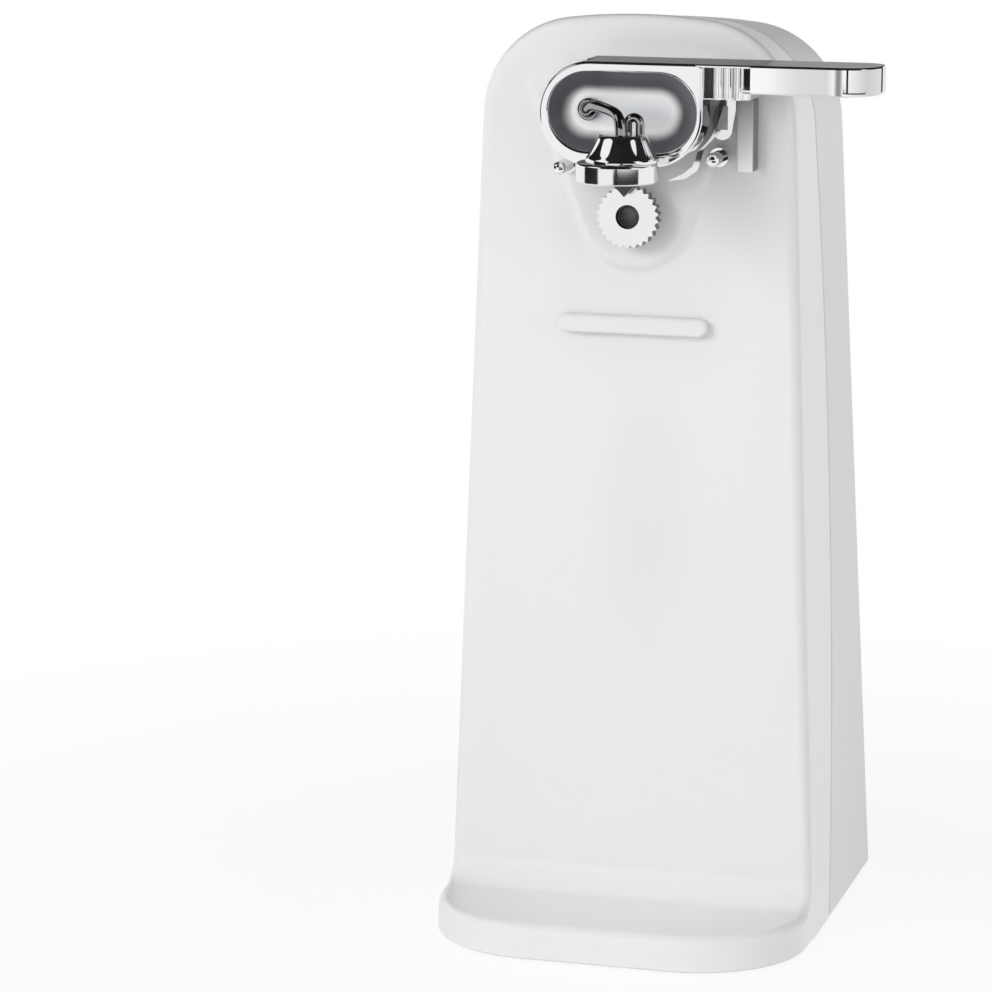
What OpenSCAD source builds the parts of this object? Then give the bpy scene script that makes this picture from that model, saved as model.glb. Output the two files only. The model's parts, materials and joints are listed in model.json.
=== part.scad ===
// Upright electric can opener with a chrome lever that presses and lifts, a swinging lid
// magnet, a toothed feed wheel, a three-stage gear train and a shaded-pole motor.
// X points right, Y points to the back, Z points up. The origin is under the middle
// of the whole outline, on the surface that the opener stands on.

/* [Housing] */
// Half width of the housing at its front rim, extended down to the table
body_half_w = 49.5; // [46:0.5:56]
// How much narrower each side is at the back than at the front
rear_narrowing = 0.6; // [0:0.1:3]
// Depth of the housing at the table, front face to back
body_depth = 83.5; // [78:0.5:96]
// Height of the front of the top
top_front_z = 241.2; // [236:0.2:256]
// Fall of the top from front to back
top_fall = 4.8; // [0:0.2:8]
// Inward lean of each side, in degrees
side_lean = 2.24; // [1.6:0.02:2.6]
// Forward lean of the back, in degrees
rear_lean = 4.49; // [2:0.1:5.5]
// Radius of the two top corners seen from the front
corner_r = 25.8; // [20:0.2:30]
// Radius of the slight crown along the top
crown_r = 145; // [120:5:400]
// Rounding around the front face
front_edge_r = 1.6; // [1:0.1:2.4]
// Rounding around the back
rear_edge_r = 3.5; // [2:0.5:6]
// Wall thickness of both shells
wall = 2.4; // [1.8:0.1:3]
// Rearmost place of the parting line, behind the front face
seam_y = 35.8; // [33:0.2:42]
// Height where the parting line is rearmost
seam_z = 115; // [90:5:140]
// Radius of the bowed parting line seen from the side
seam_r = 543; // [480:10:900]
// Open line between the two shells
seam_gap = 0.2; // [0.1:0.05:0.4]
// Ground clearance of the housing rim
rim_z = 0.8; // [0.4:0.1:2]

/* [Foot, pad and rest bar] */
// Reach of the foot in front of the face
foot_reach = 36.1; // [30:0.5:44]
// Height of the top of the foot
foot_h = 10; // [8:0.5:14]
// Corner radius of the foot seen from above
foot_corner_r = 30; // [20:1:32]
// Rounding along the top edge of the foot
foot_edge_r = 3.5; // [2:0.5:5]
// Radius of the hollow between the foot and the face
foot_fillet_r = 3.5; // [2:0.5:8]
// Height of the raised pad round the feed wheel
pad_t = 1.6; // [1:0.1:2.4]
// Radius of the lower end of the pad
pad_r = 15.9; // [13:0.1:18]
// Lean of the two lower sides of the pad, in degrees
pad_lean = 21; // [15:1:28]
// Margin between the pad and the edge of the face
pad_margin = 7; // [5:0.5:10]
// Length of the bar that the can leans on
bar_len = 39.4; // [30:0.5:50]
// Height of the bar
bar_h = 4.8; // [4:0.2:7]
// Depth of the bar's middle below the feed wheel's axis
bar_drop = 28.7; // [26:0.1:40]
// Reach of the bar in front of the face
bar_t = 3; // [2:0.1:4]

/* [Cutting] */
// Depth of the feed wheel's axis below the front of the top
feed_drop = 50.7; // [50:0.1:52]
// Tip radius of the feed wheel
wheel_r = 8.2; // [7:0.1:9]
// Thickness of the feed wheel
wheel_t = 3.5; // [2.5:0.1:4]
// Reach of the feed wheel's face in front of the housing
wheel_reach = 8; // [7:0.1:9]
// Number of teeth on the feed wheel
wheel_teeth = 26; // [18:1:32]
// Depth of the feed wheel's teeth
wheel_tooth_h = 0.9; // [0.5:0.1:1.2]
// Radius of the hole in the middle of the wheel
wheel_hole_r = 3.1; // [2.6:0.1:3.6]
// Depth of the blade's tip below the top of the feed wheel
blade_lap = 2.6; // [0.2:0.1:3]
// Thickness of the blade
blade_t = 2; // [1.4:0.1:2.4]
// Half width of the blade's neck
blade_half_w = 3.2; // [2.6:0.1:3.8]
// Radius of the two can locating pins
pin_r = 1.8; // [1.4:0.1:2]
// Reach of the pins in front of the face
pin_reach = 13.5; // [10:0.5:15]
// Place of the left pin from the feed wheel's axis, across and up
left_pin = [-17, 12.4];
// Place of the right pin from the feed wheel's axis, across and up
right_pin = [22.8, 15.6];

/* [Lever] */
// Lever pivot, across from the middle of the housing
pivot_x = -7.8; // [-9:0.1:-6]
// Depth of the lever pivot below the front of the top
pivot_drop = 22.6; // [21:0.1:24]
// Reach of the lever's face in front of the housing
lever_reach = 21; // [19:0.5:24]
// Gap between the back of the lever and the housing
lever_back_gap = 3; // [2.4:0.1:4]
// Depth of the round-ended plate
plate_depth = 9; // [8:0.5:10]
// Half height of the plate
plate_r = 13.1; // [12:0.1:14]
// Left end of the plate
plate_left = -19.9; // [-21:0.1:-19]
// Right edge of the plate
plate_right = 22.2; // [21:0.1:24]
// Depth of the top of the lever below the front of the top
lever_drop = 10.3; // [8:0.1:11]
// Thickness of the lever's roof and walls
lever_wall = 3; // [2:0.1:3.4]
// Height of the handle bar
handle_h = 7.3; // [6:0.1:9]
// Left end of the handle's front face
handle_left = 31.3; // [30:0.1:33]
// Right end of the handle
handle_right = 66; // [60:0.5:80]
// Radius of the handle's outer end seen from above
handle_end_r = 9; // [5:0.5:12]
// Radius of the handle's rear outer corner seen from above
handle_back_r = 6;     // [1:0.5:8]
// Set-back of the ribbed neck behind the lever's face
neck_set_back = 7; // [5:0.5:9]
// Height of the neck
neck_h = 9.4; // [8:0.1:10]
// Depth of the dish in the plate
dish_depth = 5; // [3:0.5:5.5]
// Radius of the dish's ends
dish_r = 10; // [8:0.1:11]
// Radius of the ends of the dish's flat floor
dish_floor_r = 5; // [4:0.1:7]
// Thickness of the guide plate
guide_t = 1.2; // [0.8:0.1:1.6]

/* [Lid magnet] */
// Middle of the lid magnet, across
magnet_x = 3.5; // [2:0.1:6]
// Middle of the lid magnet, in front of the face
magnet_reach = 33; // [31:0.5:38]
// Radius of the magnet cup
cup_r = 10.25; // [8:0.25:12]
// Height of the underside of the cup above the feed wheel's axis
cup_rise = 11.9; // [10.5:0.1:13.5]
// Height of the cup
cup_h = 5; // [4:0.1:6]
// Radius of the holder's foot on the cup
cone_base_r = 9.2; // [7:0.1:10]
// Radius of the holder's top
cone_top_r = 5.8; // [5.7:0.1:7]
// Height of the holder
cone_h = 6.8; // [5:0.1:8]
// Radius of the arm's wire
arm_wire_r = 1.4; // [1:0.1:1.7]
// Radius of the hoop's wire
hoop_wire_r = 1.1; // [0.8:0.1:1.4]

/* [Switch] */
// Left side of the switch bar
button_x = 27.4; // [27:0.1:28]
// Width of the switch bar
button_w = 4.5; // [4:0.1:5]
// Height of the switch bar
button_h = 18.7; // [18:0.1:19.2]
// Reach of the switch bar in front of the face
button_reach = 5; // [4:0.1:6]
// Travel of the switch bar
button_travel = 1.65; // [1:0.05:1.7]
// Width of the switch body
switch_w = 6.4; // [6:0.1:6.8]
// Length of the switch body
switch_len = 19.8; // [18:0.2:22]
// Height of the switch body
switch_h = 10.6; // [9:0.1:12]

/* [Gear train] */
// Teeth on the motor pinion
motor_teeth = 10; // [10:1:11]
// Teeth on the first gear
first_teeth = 48; // [46:1:48]
// Teeth on the first gear's pinion
first_pinion_teeth = 12; // [11:1:13]
// Teeth on the second gear
second_teeth = 48; // [44:1:48]
// Teeth on the second gear's pinion
second_pinion_teeth = 12; // [11:1:13]
// Teeth on the output gear
output_teeth = 36; // [34:1:36]
// Module of the first stage
first_module = 0.8; // [0.78:0.01:0.82]
// Module of the second stage
second_module = 1; // [0.98:0.01:1.02]
// Module of the output stage
output_module = 1.25; // [1.22:0.01:1.26]
// Play between meshed teeth, along the pitch circle
backlash = 0.16; // [0.1:0.02:0.3]
// Thickness of the two gear plates
gear_plate_t = 1.5; // [1.2:0.1:2]
// Radius of the fixed gear axles
axle_r = 2; // [1.5:0.1:2.5]
// Radius of the feed shaft
feed_shaft_r = 4; // [3:0.1:4.5]
// Radius of the motor shaft
motor_shaft_r = 1.8; // [1.5:0.1:2]

/* [Motor] */
// Thickness of the lamination stack
stack_t = 17; // [14:0.5:18]
// Half width of the lamination stack
stack_half_w = 28; // [26:0.5:30]
// Radius of the rotor
rotor_r = 14; // [12:0.5:15]
// Gap between the rotor and the stack
air_gap = 0.4; // [0.3:0.05:0.6]
// Radius of the cooling fan
fan_r = 19; // [15:0.5:20]
// Number of fan blades
fan_blades = 8; // [5:1:12]

/* [Hidden] */
$fn = 48;
running = 0.05;       // radial clearance of a shaft in its bearing
hole_clear = 0.1;     // radial clearance of a screw in a plain hole
plate_clear = 0.2;    // clearance beside a plate, a head or a washer
clip_wall = 1.8;
clip_t = 1;
bush_flange_over = 1.5;
bush_flange_t = 1;
loose = 0.3;          // clearance between pieces that only stand beside each other
slice_t = 0.01;       // thickness of the slices that the rounded shells are hulled from
over = 1;             // how far a cutting solid runs past the face that it cuts
pad_shoulder_drop = 8;  // height of the pad's corner centres above the ends of its slopes

top_rear_z = top_front_z - top_fall;
rear_half_w = body_half_w - rear_narrowing;
feed_z = top_front_z - feed_drop;
pivot_z = top_front_z - pivot_drop;
lever_top_z = top_front_z - lever_drop;
bar_z = feed_z - bar_drop;
cup_z = feed_z + cup_rise;
feed_pos = [0, feed_z];
left_pin_pos = feed_pos + left_pin;
right_pin_pos = feed_pos + right_pin;

body_foot_half = body_half_w - tan(side_lean) * rim_z;
part_front_y = -max(magnet_reach + cup_r, foot_reach);
part_rear_y = body_depth - tan(rear_lean) * rim_z;
part_mid_x = (handle_right - body_foot_half) / 2;
part_mid_y = (part_front_y + part_rear_y) / 2;

lever_back = -lever_back_gap;
plate_mid_z = lever_top_z - plate_r;
plate_left_x = plate_left + plate_r;
plate_right_x = plate_right - plate_r;
plate_back = -lever_reach + plate_depth;
dish_floor = -lever_reach + dish_depth;
neck_front = -lever_reach + neck_set_back;
neck_z = lever_top_z - neck_h;
handle_z = lever_top_z - handle_h;
pad_face = -pad_t;

blade_front = plate_back;
blade_back = blade_front + blade_t;
blade_tip_z = feed_z + wheel_r - blade_lap;
wheel_front = -wheel_reach;
wheel_back = wheel_front + wheel_t;

button_top = neck_z - loose;
button_z = button_top - button_h;
button_mid_x = button_x + button_w / 2;
slot_margin = 0.6;
slot_bottom_gap = 0.25;
slot_z = button_z - button_travel - slot_bottom_gap;
flange_t = 1.5;
flange_side = 1.2;      // how far the bar's inner flange runs past its sides
flange_end = 2.2;       // how far it runs past the ends of its slot
stem_drop = 4;
stem_z = button_z - stem_drop;
stem_w = 3.2;
stem_h = 3.5;
stem_back = 16;
stem_gap = 0.15;
plunger_r = 1.2;
plunger_y = 13.2;
plunger_top = stem_z - stem_gap;
plunger_rest = 0.35;    // what still stands out of the switch when the plunger is down
switch_y = 9.3;
switch_top = plunger_top - button_travel - plunger_rest;
switch_z = switch_top - switch_h;
switch_offset = 0.3;
switch_x = button_mid_x + switch_offset - switch_w / 2;
switch_rib_x = switch_x + switch_w;
spring_y = 6.7;
spring_r = 1.8;
spring_wire_r = 0.25;
spring_seat_rise = 2.5;
spring_seat_z = switch_z + spring_seat_rise;
spring_turns = 7;

// Layers of the gear train along Y, from the front plate to the back plate
front_plate_y = 6;
gears_y = 10;
output_face_w = 6;
second_face_w = 5;
first_face_w = 4;
layer_gap = 1;
back_plate_gap = 2.5;
layer_a = [gears_y, gears_y + output_face_w];
layer_b = [layer_a[1] + layer_gap, layer_a[1] + layer_gap + second_face_w];
layer_c = [layer_b[1] + layer_gap, layer_b[1] + layer_gap + first_face_w];
back_plate_y = layer_c[1] + back_plate_gap;
back_plate_end = back_plate_y + gear_plate_t;

output_centre_dist = output_module * (second_pinion_teeth + output_teeth) / 2;
second_centre_dist = second_module * (first_pinion_teeth + second_teeth) / 2;
first_centre_dist = first_module * (motor_teeth + first_teeth) / 2;
// Direction from each axis down to the next one, in degrees from +X
output_dir = 248.5;
second_dir = 295.5;
second_pos = feed_pos + output_centre_dist * [cos(output_dir), sin(output_dir)];
first_pos = second_pos + second_centre_dist * [cos(second_dir), sin(second_dir)];
motor_drop = sqrt(pow(first_centre_dist, 2) - pow(first_pos[0], 2));
motor_pos = [0, first_pos[1] - motor_drop];
first_dir = atan2(-motor_drop, -first_pos[0]);
motor_z = motor_pos[1];
profile_shift = 0.45;
pressure_angle = 20;

// Turn of each gear that puts a gap of one opposite a tooth of the other
motor_turn = first_dir + 180;
first_turn = first_dir + 180 / first_teeth;
first_pinion_turn = second_dir + 180;
second_turn = second_dir + 180 / second_teeth;
second_pinion_turn = output_dir + 180;
output_turn = output_dir + 180 / output_teeth;

// Posts between the gear plates, placed from the feed wheel's axis; their screws go into
// bosses of the front shell
post_places = [[-28, 11.5], [18, 21.5], [-26, -58.5], [26, -62.5]];
posts = [for (p = post_places) feed_pos + p];
post_r = 3.4;
post_boss_t = 0.6;
post_screw_r = 1.5;
post_screw_y = 1.4;

// Screws that hold the back shell to the front shell
low_screw_inset = 11.5;
low_screw_z = 22;
high_screw_inset = 29.5;
high_screw_drop = 14.2;
shell_screws = [
    for (s = [-1, 1]) [s * (body_half_w - low_screw_inset), low_screw_z],
    for (s = [-1, 1]) [s * (body_half_w - high_screw_inset), top_front_z - high_screw_drop]];
shell_boss_r = 4;
shell_boss_y = 34;
shell_screw_r = 1.6;
shell_screw_y = 16;
shell_head_r = 3;
shell_head_y = 40;
shell_head_t = 2.2;
shell_head_end = shell_head_y + shell_head_t;
shell_tip_room = 4;     // hole left ahead of a screw's tip
shell_slot_t = 1.2;
shell_slot_l = 4;
shell_slot_w = 0.9;

base_z = 1.4;
base_t = 2.4;
base_screw_inset = 7.2;
base_screw_back = 9.5;
front_base_screws = [for (s = [-1, 1]) [s * (body_half_w - base_screw_inset), base_screw_inset]];
rear_base_screws = [for (s = [-1, 1]) [s * (rear_half_w - base_screw_inset), body_depth - base_screw_back]];
base_screws = concat(front_base_screws, rear_base_screws);
base_boss_r = 4.3;
base_boss_h = 9;
base_boss_z = base_z + base_t;
base_web_t = 2;
base_screw_r = 1.5;
base_screw_tip = 1;     // wall left above the tip of a base screw's hole
front_foot_inset = 18.5;
rear_foot_inset = 15.9;
front_foot_back = 19.1;
rear_foot_back = 17.5;
feet = [
    for (s = [-1, 1]) [s * (body_half_w - front_foot_inset), front_foot_back - foot_reach],
    for (s = [-1, 1]) [s * (rear_half_w - rear_foot_inset), body_depth - rear_foot_back]];
foot_pad_r = 6;
foot_stem_r = 2.5;
foot_knob_r = 3.3;
foot_knob_h = 1.2;

gland_z = 20;
gland_bore_r = 3.5;
gland_r = 5.6;
gland_flange_r = 7.4;

bracket_t = 1.5;

// Depth that is free round the stack and the rear bracket, from the back gear plate to the
// inside of the housing's back, and the share of it that each gap and the fan takes
motor_room = body_depth - tan(rear_lean) * (motor_z + fan_r) - wall
    - back_plate_end - stack_t - bracket_t;
stack_front_share = 0.282;
stack_rear_share = 0.188;
fan_front_share = 0.103;
fan_share = 0.282;
stack_y = back_plate_end + stack_front_share * motor_room;
stack_end = stack_y + stack_t;
rear_bracket_y = stack_end + stack_rear_share * motor_room;
fan_y = rear_bracket_y + bracket_t + fan_front_share * motor_room;
fan_t = fan_share * motor_room;

stack_above = 19;
stack_below = 36;
coil_leg = 8;
window_h = 10;
stack_top = motor_z + stack_above;
stack_bottom = motor_z - stack_below;
window_half_w = 16.5;
window_bottom = stack_bottom + coil_leg;
window_top = window_bottom + window_h;
motor_bearing_r = 5;
motor_bearing_wall = 1.6;
bearing_gap = 1;
motor_screw_x = 22.5;
motor_screw_rise = 4;
motor_screw_z = motor_z + motor_screw_rise;
motor_screw_r = 1.6;
motor_leg_r = 3.6;
bracket_edge_r = 5;
bracket_drop = 4;
fan_hub_r = 4.5;
fan_disc_t = 1.2;
fan_blade_t = 1.2;
motor_screws = [[-motor_screw_x, motor_screw_z], [motor_screw_x, motor_screw_z]];
motor_hole_r = 7.4;
bobbin_wall = 1.2;
bobbin_flange = 6.6;
bobbin_flange_t = 1.4;
winding_drop = 0.8;     // depth of the winding's outside below the flanges
bobbin_half = window_half_w - loose;

// Vents in the back, level with the fan
vent_w = 2.2;
vent_h = 26;
vent_pitch = 6;
base_head_r = 2.8;
base_head_t = 1.2;

// Lever, its pivot and what it carries
pin_head_over = 0.7;
pin_head_t = 1;
pivot_shaft_r = 4;
pivot_shaft_gap = 1.2;
pivot_shaft_front = plate_back + pivot_shaft_gap;
pivot_shaft_back = 8.5;
pivot_bushing_r = 5.5;
pivot_bushing_end = 5.6;
hub_r = 6.5;
eyelet_r = 2.4;
eyelet_flange_r = 2.9;
eyelet_flange_t = 2.4;
eyelet_front = dish_floor - eyelet_flange_t;
eyelet_back = plate_back - 0.4;
chamber_r = 3.4;
chamber_back = plate_back + 1;
dish_left_rim = 2.4;
dish_right_rim = 1.5;
dish_rise = 0.6;
dish_left_x = plate_left + dish_left_rim + dish_r;
dish_right_x = plate_right - dish_right_rim - dish_r;
dish_z = plate_mid_z + dish_rise;
rib_r = 1.25;
rib_count = 3;
rib_pitch = (handle_left - plate_right) / (rib_count + 0.6);
roof_lip = 0.8;
roof_over_handle = 3.5;
handle_left_r = 3;
handle_pocket_left = 4;
handle_pocket_right = 9;
blade_screw_x = 4.6;
blade_screw_drop = 7.2;
blade_screw = [blade_screw_x, plate_mid_z - blade_screw_drop];
blade_screw_r = 1.4;
blade_screw_l = 2.4;
blade_screw_head_r = 2.7;
blade_screw_head_t = 1.4;
guide_y = -7;
guide_tab = [plate_right + 1.2, plate_right + 5.4];
guide_tab_h = 4;

// Magnet holder: cone on the cup, the arm's leg and the hoop stand in it
magnet_y = -magnet_reach;
cup_wall = 0.8;
cone_offset = 1.4;
cone_foot_h = 1;
cone_x = magnet_x + cone_offset;
cone_z = cup_z + cup_h;
leg_depth = 2.6;
arm_x = 4.8;
arm_y = magnet_y - 1.5;
arm_leg = [arm_x, arm_y, cone_z + cone_h - leg_depth];
hoop_x = 7.5;
hoop_y = magnet_y + 1.3;     // behind the arm's leg
hoop_half = 1.55;
hoop_rise = 2.6;
arm_bend_y = -lever_reach + 0.5;
wire_ease = 0.98;       // swept wires are this much finer than the straight rods that they join

// Switch and its fixing
switch_rib_t = 2;
spring_shelf_t = 1.6;
switch_screw_r = 1.1;
switch_screw_rise = 2.6;
switch_screw_z = switch_z + switch_screw_rise;
switch_head_r = 2;
switch_head_t = 1.1;
switch_screw_ys = [switch_y + 5, switch_y + 15.2];
plunger_depth = 3.4;
terminal_ys = [switch_y + 3, switch_y + 9.9, switch_y + 16.8];
terminal_x = switch_x + switch_w / 2;
terminal_l = 5;
terminal_w = 3;
terminal_t = 0.6;

// Shafts, bushings and gear hubs
gear_hub_r = 4;
hub_front = front_plate_y + gear_plate_t + plate_clear;
hub_back = back_plate_y - plate_clear;
pinion_over = 0.3;
bushing_r = 6.5;
front_bushing_end = front_plate_y + gear_plate_t + 1;
feed_nose_front = wheel_front + 2;
feed_journal_r = 3;
feed_journal_y = 27.6;
feed_end = back_plate_end + 3.4;
rear_bushing_r = 5;
rear_bushing_y = [feed_journal_y + plate_clear, back_plate_end + 1.2];
post_plate_r = 4.2;
post_head_r = 3;
post_head_t = 1.8;

// Insulated leads
lead_r = 0.9;
lead_gap = 1.4;
lead_y = body_depth - 9.5;
coil_lead_x = bobbin_half - 3;
coil_back = stack_end + bobbin_flange - winding_drop;

// Places a sub-part from the housing's own middle into the part's frame
module placed() translate([-part_mid_x, -part_mid_y, 0]) children();

// Extrudes a front-view outline from y0 to y1
module along_y(y0, y1, x = 0, z = 0)
    translate([x, y1, z]) rotate([90, 0, 0]) linear_extrude(y1 - y0) children();

module rod_y(r, y0, y1, x = 0, z = 0)
    translate([x, y1, z]) rotate([90, 0, 0]) cylinder(r = r, h = y1 - y0);

module tube_y(r, bore_r, y0, y1, x = 0, z = 0)
    difference() {
        rod_y(r, y0, y1, x, z);
        rod_y(bore_r, y0 - over, y1 + over, x, z);
    }

// Plain bushing with one flange
module flanged_bush(r, bore_r, y0, y1, flange_r, f0, f1, x = 0, z = 0)
    difference() {
        union() {
            rod_y(r, y0, y1, x, z);
            rod_y(flange_r, f0, f1, x, z);
        }
        rod_y(bore_r, y0 - over, y1 + over, x, z);
    }

function unit(v) = v / norm(v);

// Line through a list of points with every corner rounded between the middles of its sides
function rounded_line(p, steps) =
    let (n = len(p) - 1)
    concat([p[0]],
           [for (i = [1:n - 1], k = [0:steps - 1])
               let (t = k / steps, a = (p[i - 1] + p[i]) / 2, c = (p[i] + p[i + 1]) / 2)
               (1 - t) * (1 - t) * a + 2 * t * (1 - t) * p[i] + t * t * c],
           [(p[n - 1] + p[n]) / 2, p[n]]);

// Round wire swept along a rounded line; no stretch of it may run straight along X
module swept_wire(points, r, sides, steps) {
    c = rounded_line(points, steps);
    n = len(c) - 1;
    rings = [for (i = [0:n])
        let (t = unit(c[min(i + 1, n)] - c[max(i - 1, 0)]),
             u = unit(cross(t, [1, 0, 0])),
             w = cross(t, u))
        for (k = [0:sides - 1]) c[i] + r * (cos(360 * k / sides) * u + sin(360 * k / sides) * w)];
    skin = [for (i = [0:n - 1], k = [0:sides - 1])
        let (next = (k + 1) % sides)
        [(i + 1) * sides + k, (i + 1) * sides + next, i * sides + next, i * sides + k]];
    caps = [[for (k = [0:sides - 1]) k], [for (k = [sides - 1:-1:0]) n * sides + k]];
    polyhedron(rings, concat(skin, caps));
}

// ---- Shell shape -------------------------------------------------------------

function arc(c, r, a0, a1, steps) =
    [for (i = [0:steps]) c + r * [cos(a0 + (a1 - a0) * i / steps), sin(a0 + (a1 - a0) * i / steps)]];

// Middle of a top corner, tangent to the leaning side and to the crown
function corner_centre(half, top) =
    let (t = tan(side_lean),
         z0 = top - crown_r,
         a = half - t * z0 - corner_r / cos(side_lean),
         q = 1 + t * t,
         u = (a * t + sqrt(a * a * t * t - q * (a * a - pow(crown_r - corner_r, 2)))) / q)
    [a - t * u, z0 + u];

// Front-view outline of the housing, inset all round except at its lower end
function body_outline(half, top, inset, low) =
    let (c = corner_centre(half, top),
         crown = [0, top - crown_r],
         join = atan2(c[1] - crown[1], c[0]),
         r = corner_r - inset,
         foot = half - inset / cos(side_lean) - tan(side_lean) * low,
         top_arc = arc(crown, crown_r - inset, join, 180 - join, 8))
    concat([[-foot, low], [foot, low]],
           arc(c, r, side_lean, join, 12),
           [for (i = [1:len(top_arc) - 2]) top_arc[i]],
           arc([-c[0], c[1]], r, 180 - join, 180 - side_lean, 12));

module front_slice(inset, y, low)
    along_y(y, y + slice_t) polygon(body_outline(body_half_w, top_front_z, inset, low));

module rear_slice(inset, back, low)
    multmatrix([[1, 0, 0, 0], [0, 1, -tan(rear_lean), 0], [0, 0, 1, 0], [0, 0, 0, 1]])
        along_y(body_depth - back - slice_t, body_depth - back)
        polygon(body_outline(rear_half_w, top_rear_z, inset, low));

// Outer form of the housing, shrunk all round by a distance
module body_form(shrink, low) {
    front_r = max(front_edge_r - shrink, slice_t);
    rear_r = max(rear_edge_r - shrink, slice_t);
    hull()
        for (a = [0:30:90]) {
            front_slice(shrink + front_r * (1 - cos(a)), shrink + front_r * (1 - sin(a)), low);
            rear_slice(shrink + rear_r * (1 - cos(a)), shrink + rear_r * (1 - sin(a)), low);
        }
}

// Everything in front of the bowed parting line
module seam_drum(r)
    translate([-body_half_w - over, seam_y - seam_r, seam_z])
        rotate([0, 90, 0]) cylinder(r = r, h = 2 * (body_half_w + over), $fn = 400);

// Plan outline of the foot; its sides keep to the sides of the housing
function foot_outline(half, inset) =
    let (r = foot_corner_r - inset,
         x = half - foot_corner_r,
         y = foot_corner_r - foot_reach)
    concat([[-half + inset, wall / 2]],
           arc([-x, y], r, 180, 270, 12),
           arc([x, y], r, 270, 360, 12),
           [[half - inset, wall / 2]]);

module foot_slice(z, inset)
    translate([0, 0, z]) linear_extrude(slice_t)
        polygon(foot_outline(body_half_w - tan(side_lean) * z, inset));

module foot_form()
    hull() {
        foot_slice(rim_z, 0);
        for (a = [0:30:90])
            foot_slice(foot_h - foot_edge_r + foot_edge_r * sin(a) - slice_t, foot_edge_r * (1 - cos(a)));
    }

// Hollow corner between the top of the foot and the face
module foot_fillet() {
    half = body_half_w - foot_edge_r;
    difference() {
        translate([-half, -foot_fillet_r, foot_h - slice_t])
            cube([2 * half, foot_fillet_r + wall / 2, foot_fillet_r]);
        translate([-half - over, -foot_fillet_r, foot_h + foot_fillet_r])
            rotate([0, 90, 0]) cylinder(r = foot_fillet_r, h = 2 * (half + over));
    }
}

// Pad outline: a round lower end, two leaning sides, then the outline of the face
module pad_shape() {
    side = [cos(pad_lean), -sin(pad_lean)];
    low = pad_r * side;
    c = corner_centre(body_half_w, top_front_z);
    rise = c[1] - pad_shoulder_drop - feed_z - low[1];
    head = low + rise * [tan(pad_lean), 1];
    polygon(concat(
        arc(feed_pos, pad_r, 180 + pad_lean, 360 - pad_lean, 16),
        [feed_pos + head],
        arc(c, corner_r - pad_margin, side_lean, 90 - side_lean, 10),
        arc([-c[0], c[1]], corner_r - pad_margin, 90 + side_lean, 180 - side_lean, 10),
        [feed_pos + [-head[0], head[1]]]));
}

module rest_bar_shape() {
    half = bar_len / 2 - bar_h / 2;
    square([2 * half, bar_h], center = true);
    for (s = [-1, 1]) translate([s * half, 0]) circle(d = bar_h);
}

// ---- Housing pieces ----------------------------------------------------------

module front_shell_openings() {
    rod_y(bushing_r, -pad_t - over, wall + over, 0, feed_z);
    rod_y(pivot_bushing_r, -pad_t - over, wall + over, pivot_x, pivot_z);
    for (p = [left_pin_pos, right_pin_pos]) rod_y(pin_r, -pad_t - over, wall + over, p[0], p[1]);
    translate([button_x - slot_margin, -pad_t - over, slot_z])
        cube([button_w + 2 * slot_margin, wall + pad_t + 2 * over, button_top + loose - slot_z]);
}

// Bosses for the base screws, each with a web to the side wall
module base_bosses(places, half) {
    side = half - tan(side_lean) * (base_boss_z + base_boss_h) - wall / 2;
    for (p = places) {
        translate([p[0], p[1], base_boss_z]) cylinder(r = base_boss_r, h = base_boss_h);
        translate([min(p[0], sign(p[0]) * side), p[1] - base_web_t / 2, base_boss_z])
            cube([side - abs(p[0]), base_web_t, base_boss_h]);
    }
}

module base_screw_holes(places)
    for (p = places)
        translate([p[0], p[1], 0]) cylinder(r = base_screw_r, h = base_boss_z + base_boss_h - base_screw_tip);

module front_housing() placed() color("white")
    difference() {
        union() {
            difference() {
                union() {
                    intersection() {
                        body_form(0, rim_z);
                        seam_drum(seam_r);
                    }
                    foot_form();
                    foot_fillet();
                    along_y(pad_face, wall / 2) pad_shape();
                    along_y(-bar_t, wall / 2, 0, bar_z) rest_bar_shape();
                }
                body_form(wall, rim_z - over);
                foot_pocket();
            }
            for (p = posts) rod_y(post_r + post_boss_t, wall / 2, front_plate_y, p[0], p[1]);
            for (p = shell_screws) rod_y(shell_boss_r, wall / 2, shell_boss_y, p[0], p[1]);
            base_bosses(front_base_screws, body_half_w);
            translate([switch_rib_x, wall / 2, switch_z])
                cube([switch_rib_t, switch_y + switch_len - wall / 2, switch_h]);
            translate([switch_x + 1, wall / 2, spring_seat_z - spring_shelf_t])
                cube([switch_w, switch_y - 0.4 - wall / 2, spring_shelf_t]);
        }
        front_shell_openings();
        for (p = posts) rod_y(post_screw_r, post_screw_y - plate_clear, front_plate_y + over, p[0], p[1]);
        for (p = shell_screws) rod_y(shell_screw_r, shell_screw_y - shell_tip_room, shell_boss_y + over, p[0], p[1]);
        base_screw_holes(front_base_screws);
        for (y = switch_screw_ys)
            translate([switch_rib_x - over, y, switch_screw_z])
                rotate([0, 90, 0]) cylinder(r = switch_screw_r, h = switch_rib_t + 2 * over);
    }

// Room inside the foot, joined to the room inside the housing
module foot_pocket() {
    half = body_half_w - tan(side_lean) * foot_h;
    translate([0, 0, rim_z - over])
        linear_extrude(foot_h - wall - rim_z + over)
        polygon(concat(
            [[-half + wall, wall + over]],
            arc([-half + foot_corner_r, foot_corner_r - foot_reach], foot_corner_r - wall, 180, 270, 12),
            arc([half - foot_corner_r, foot_corner_r - foot_reach], foot_corner_r - wall, 270, 360, 12),
            [[half - wall, wall + over]]));
}

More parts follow.
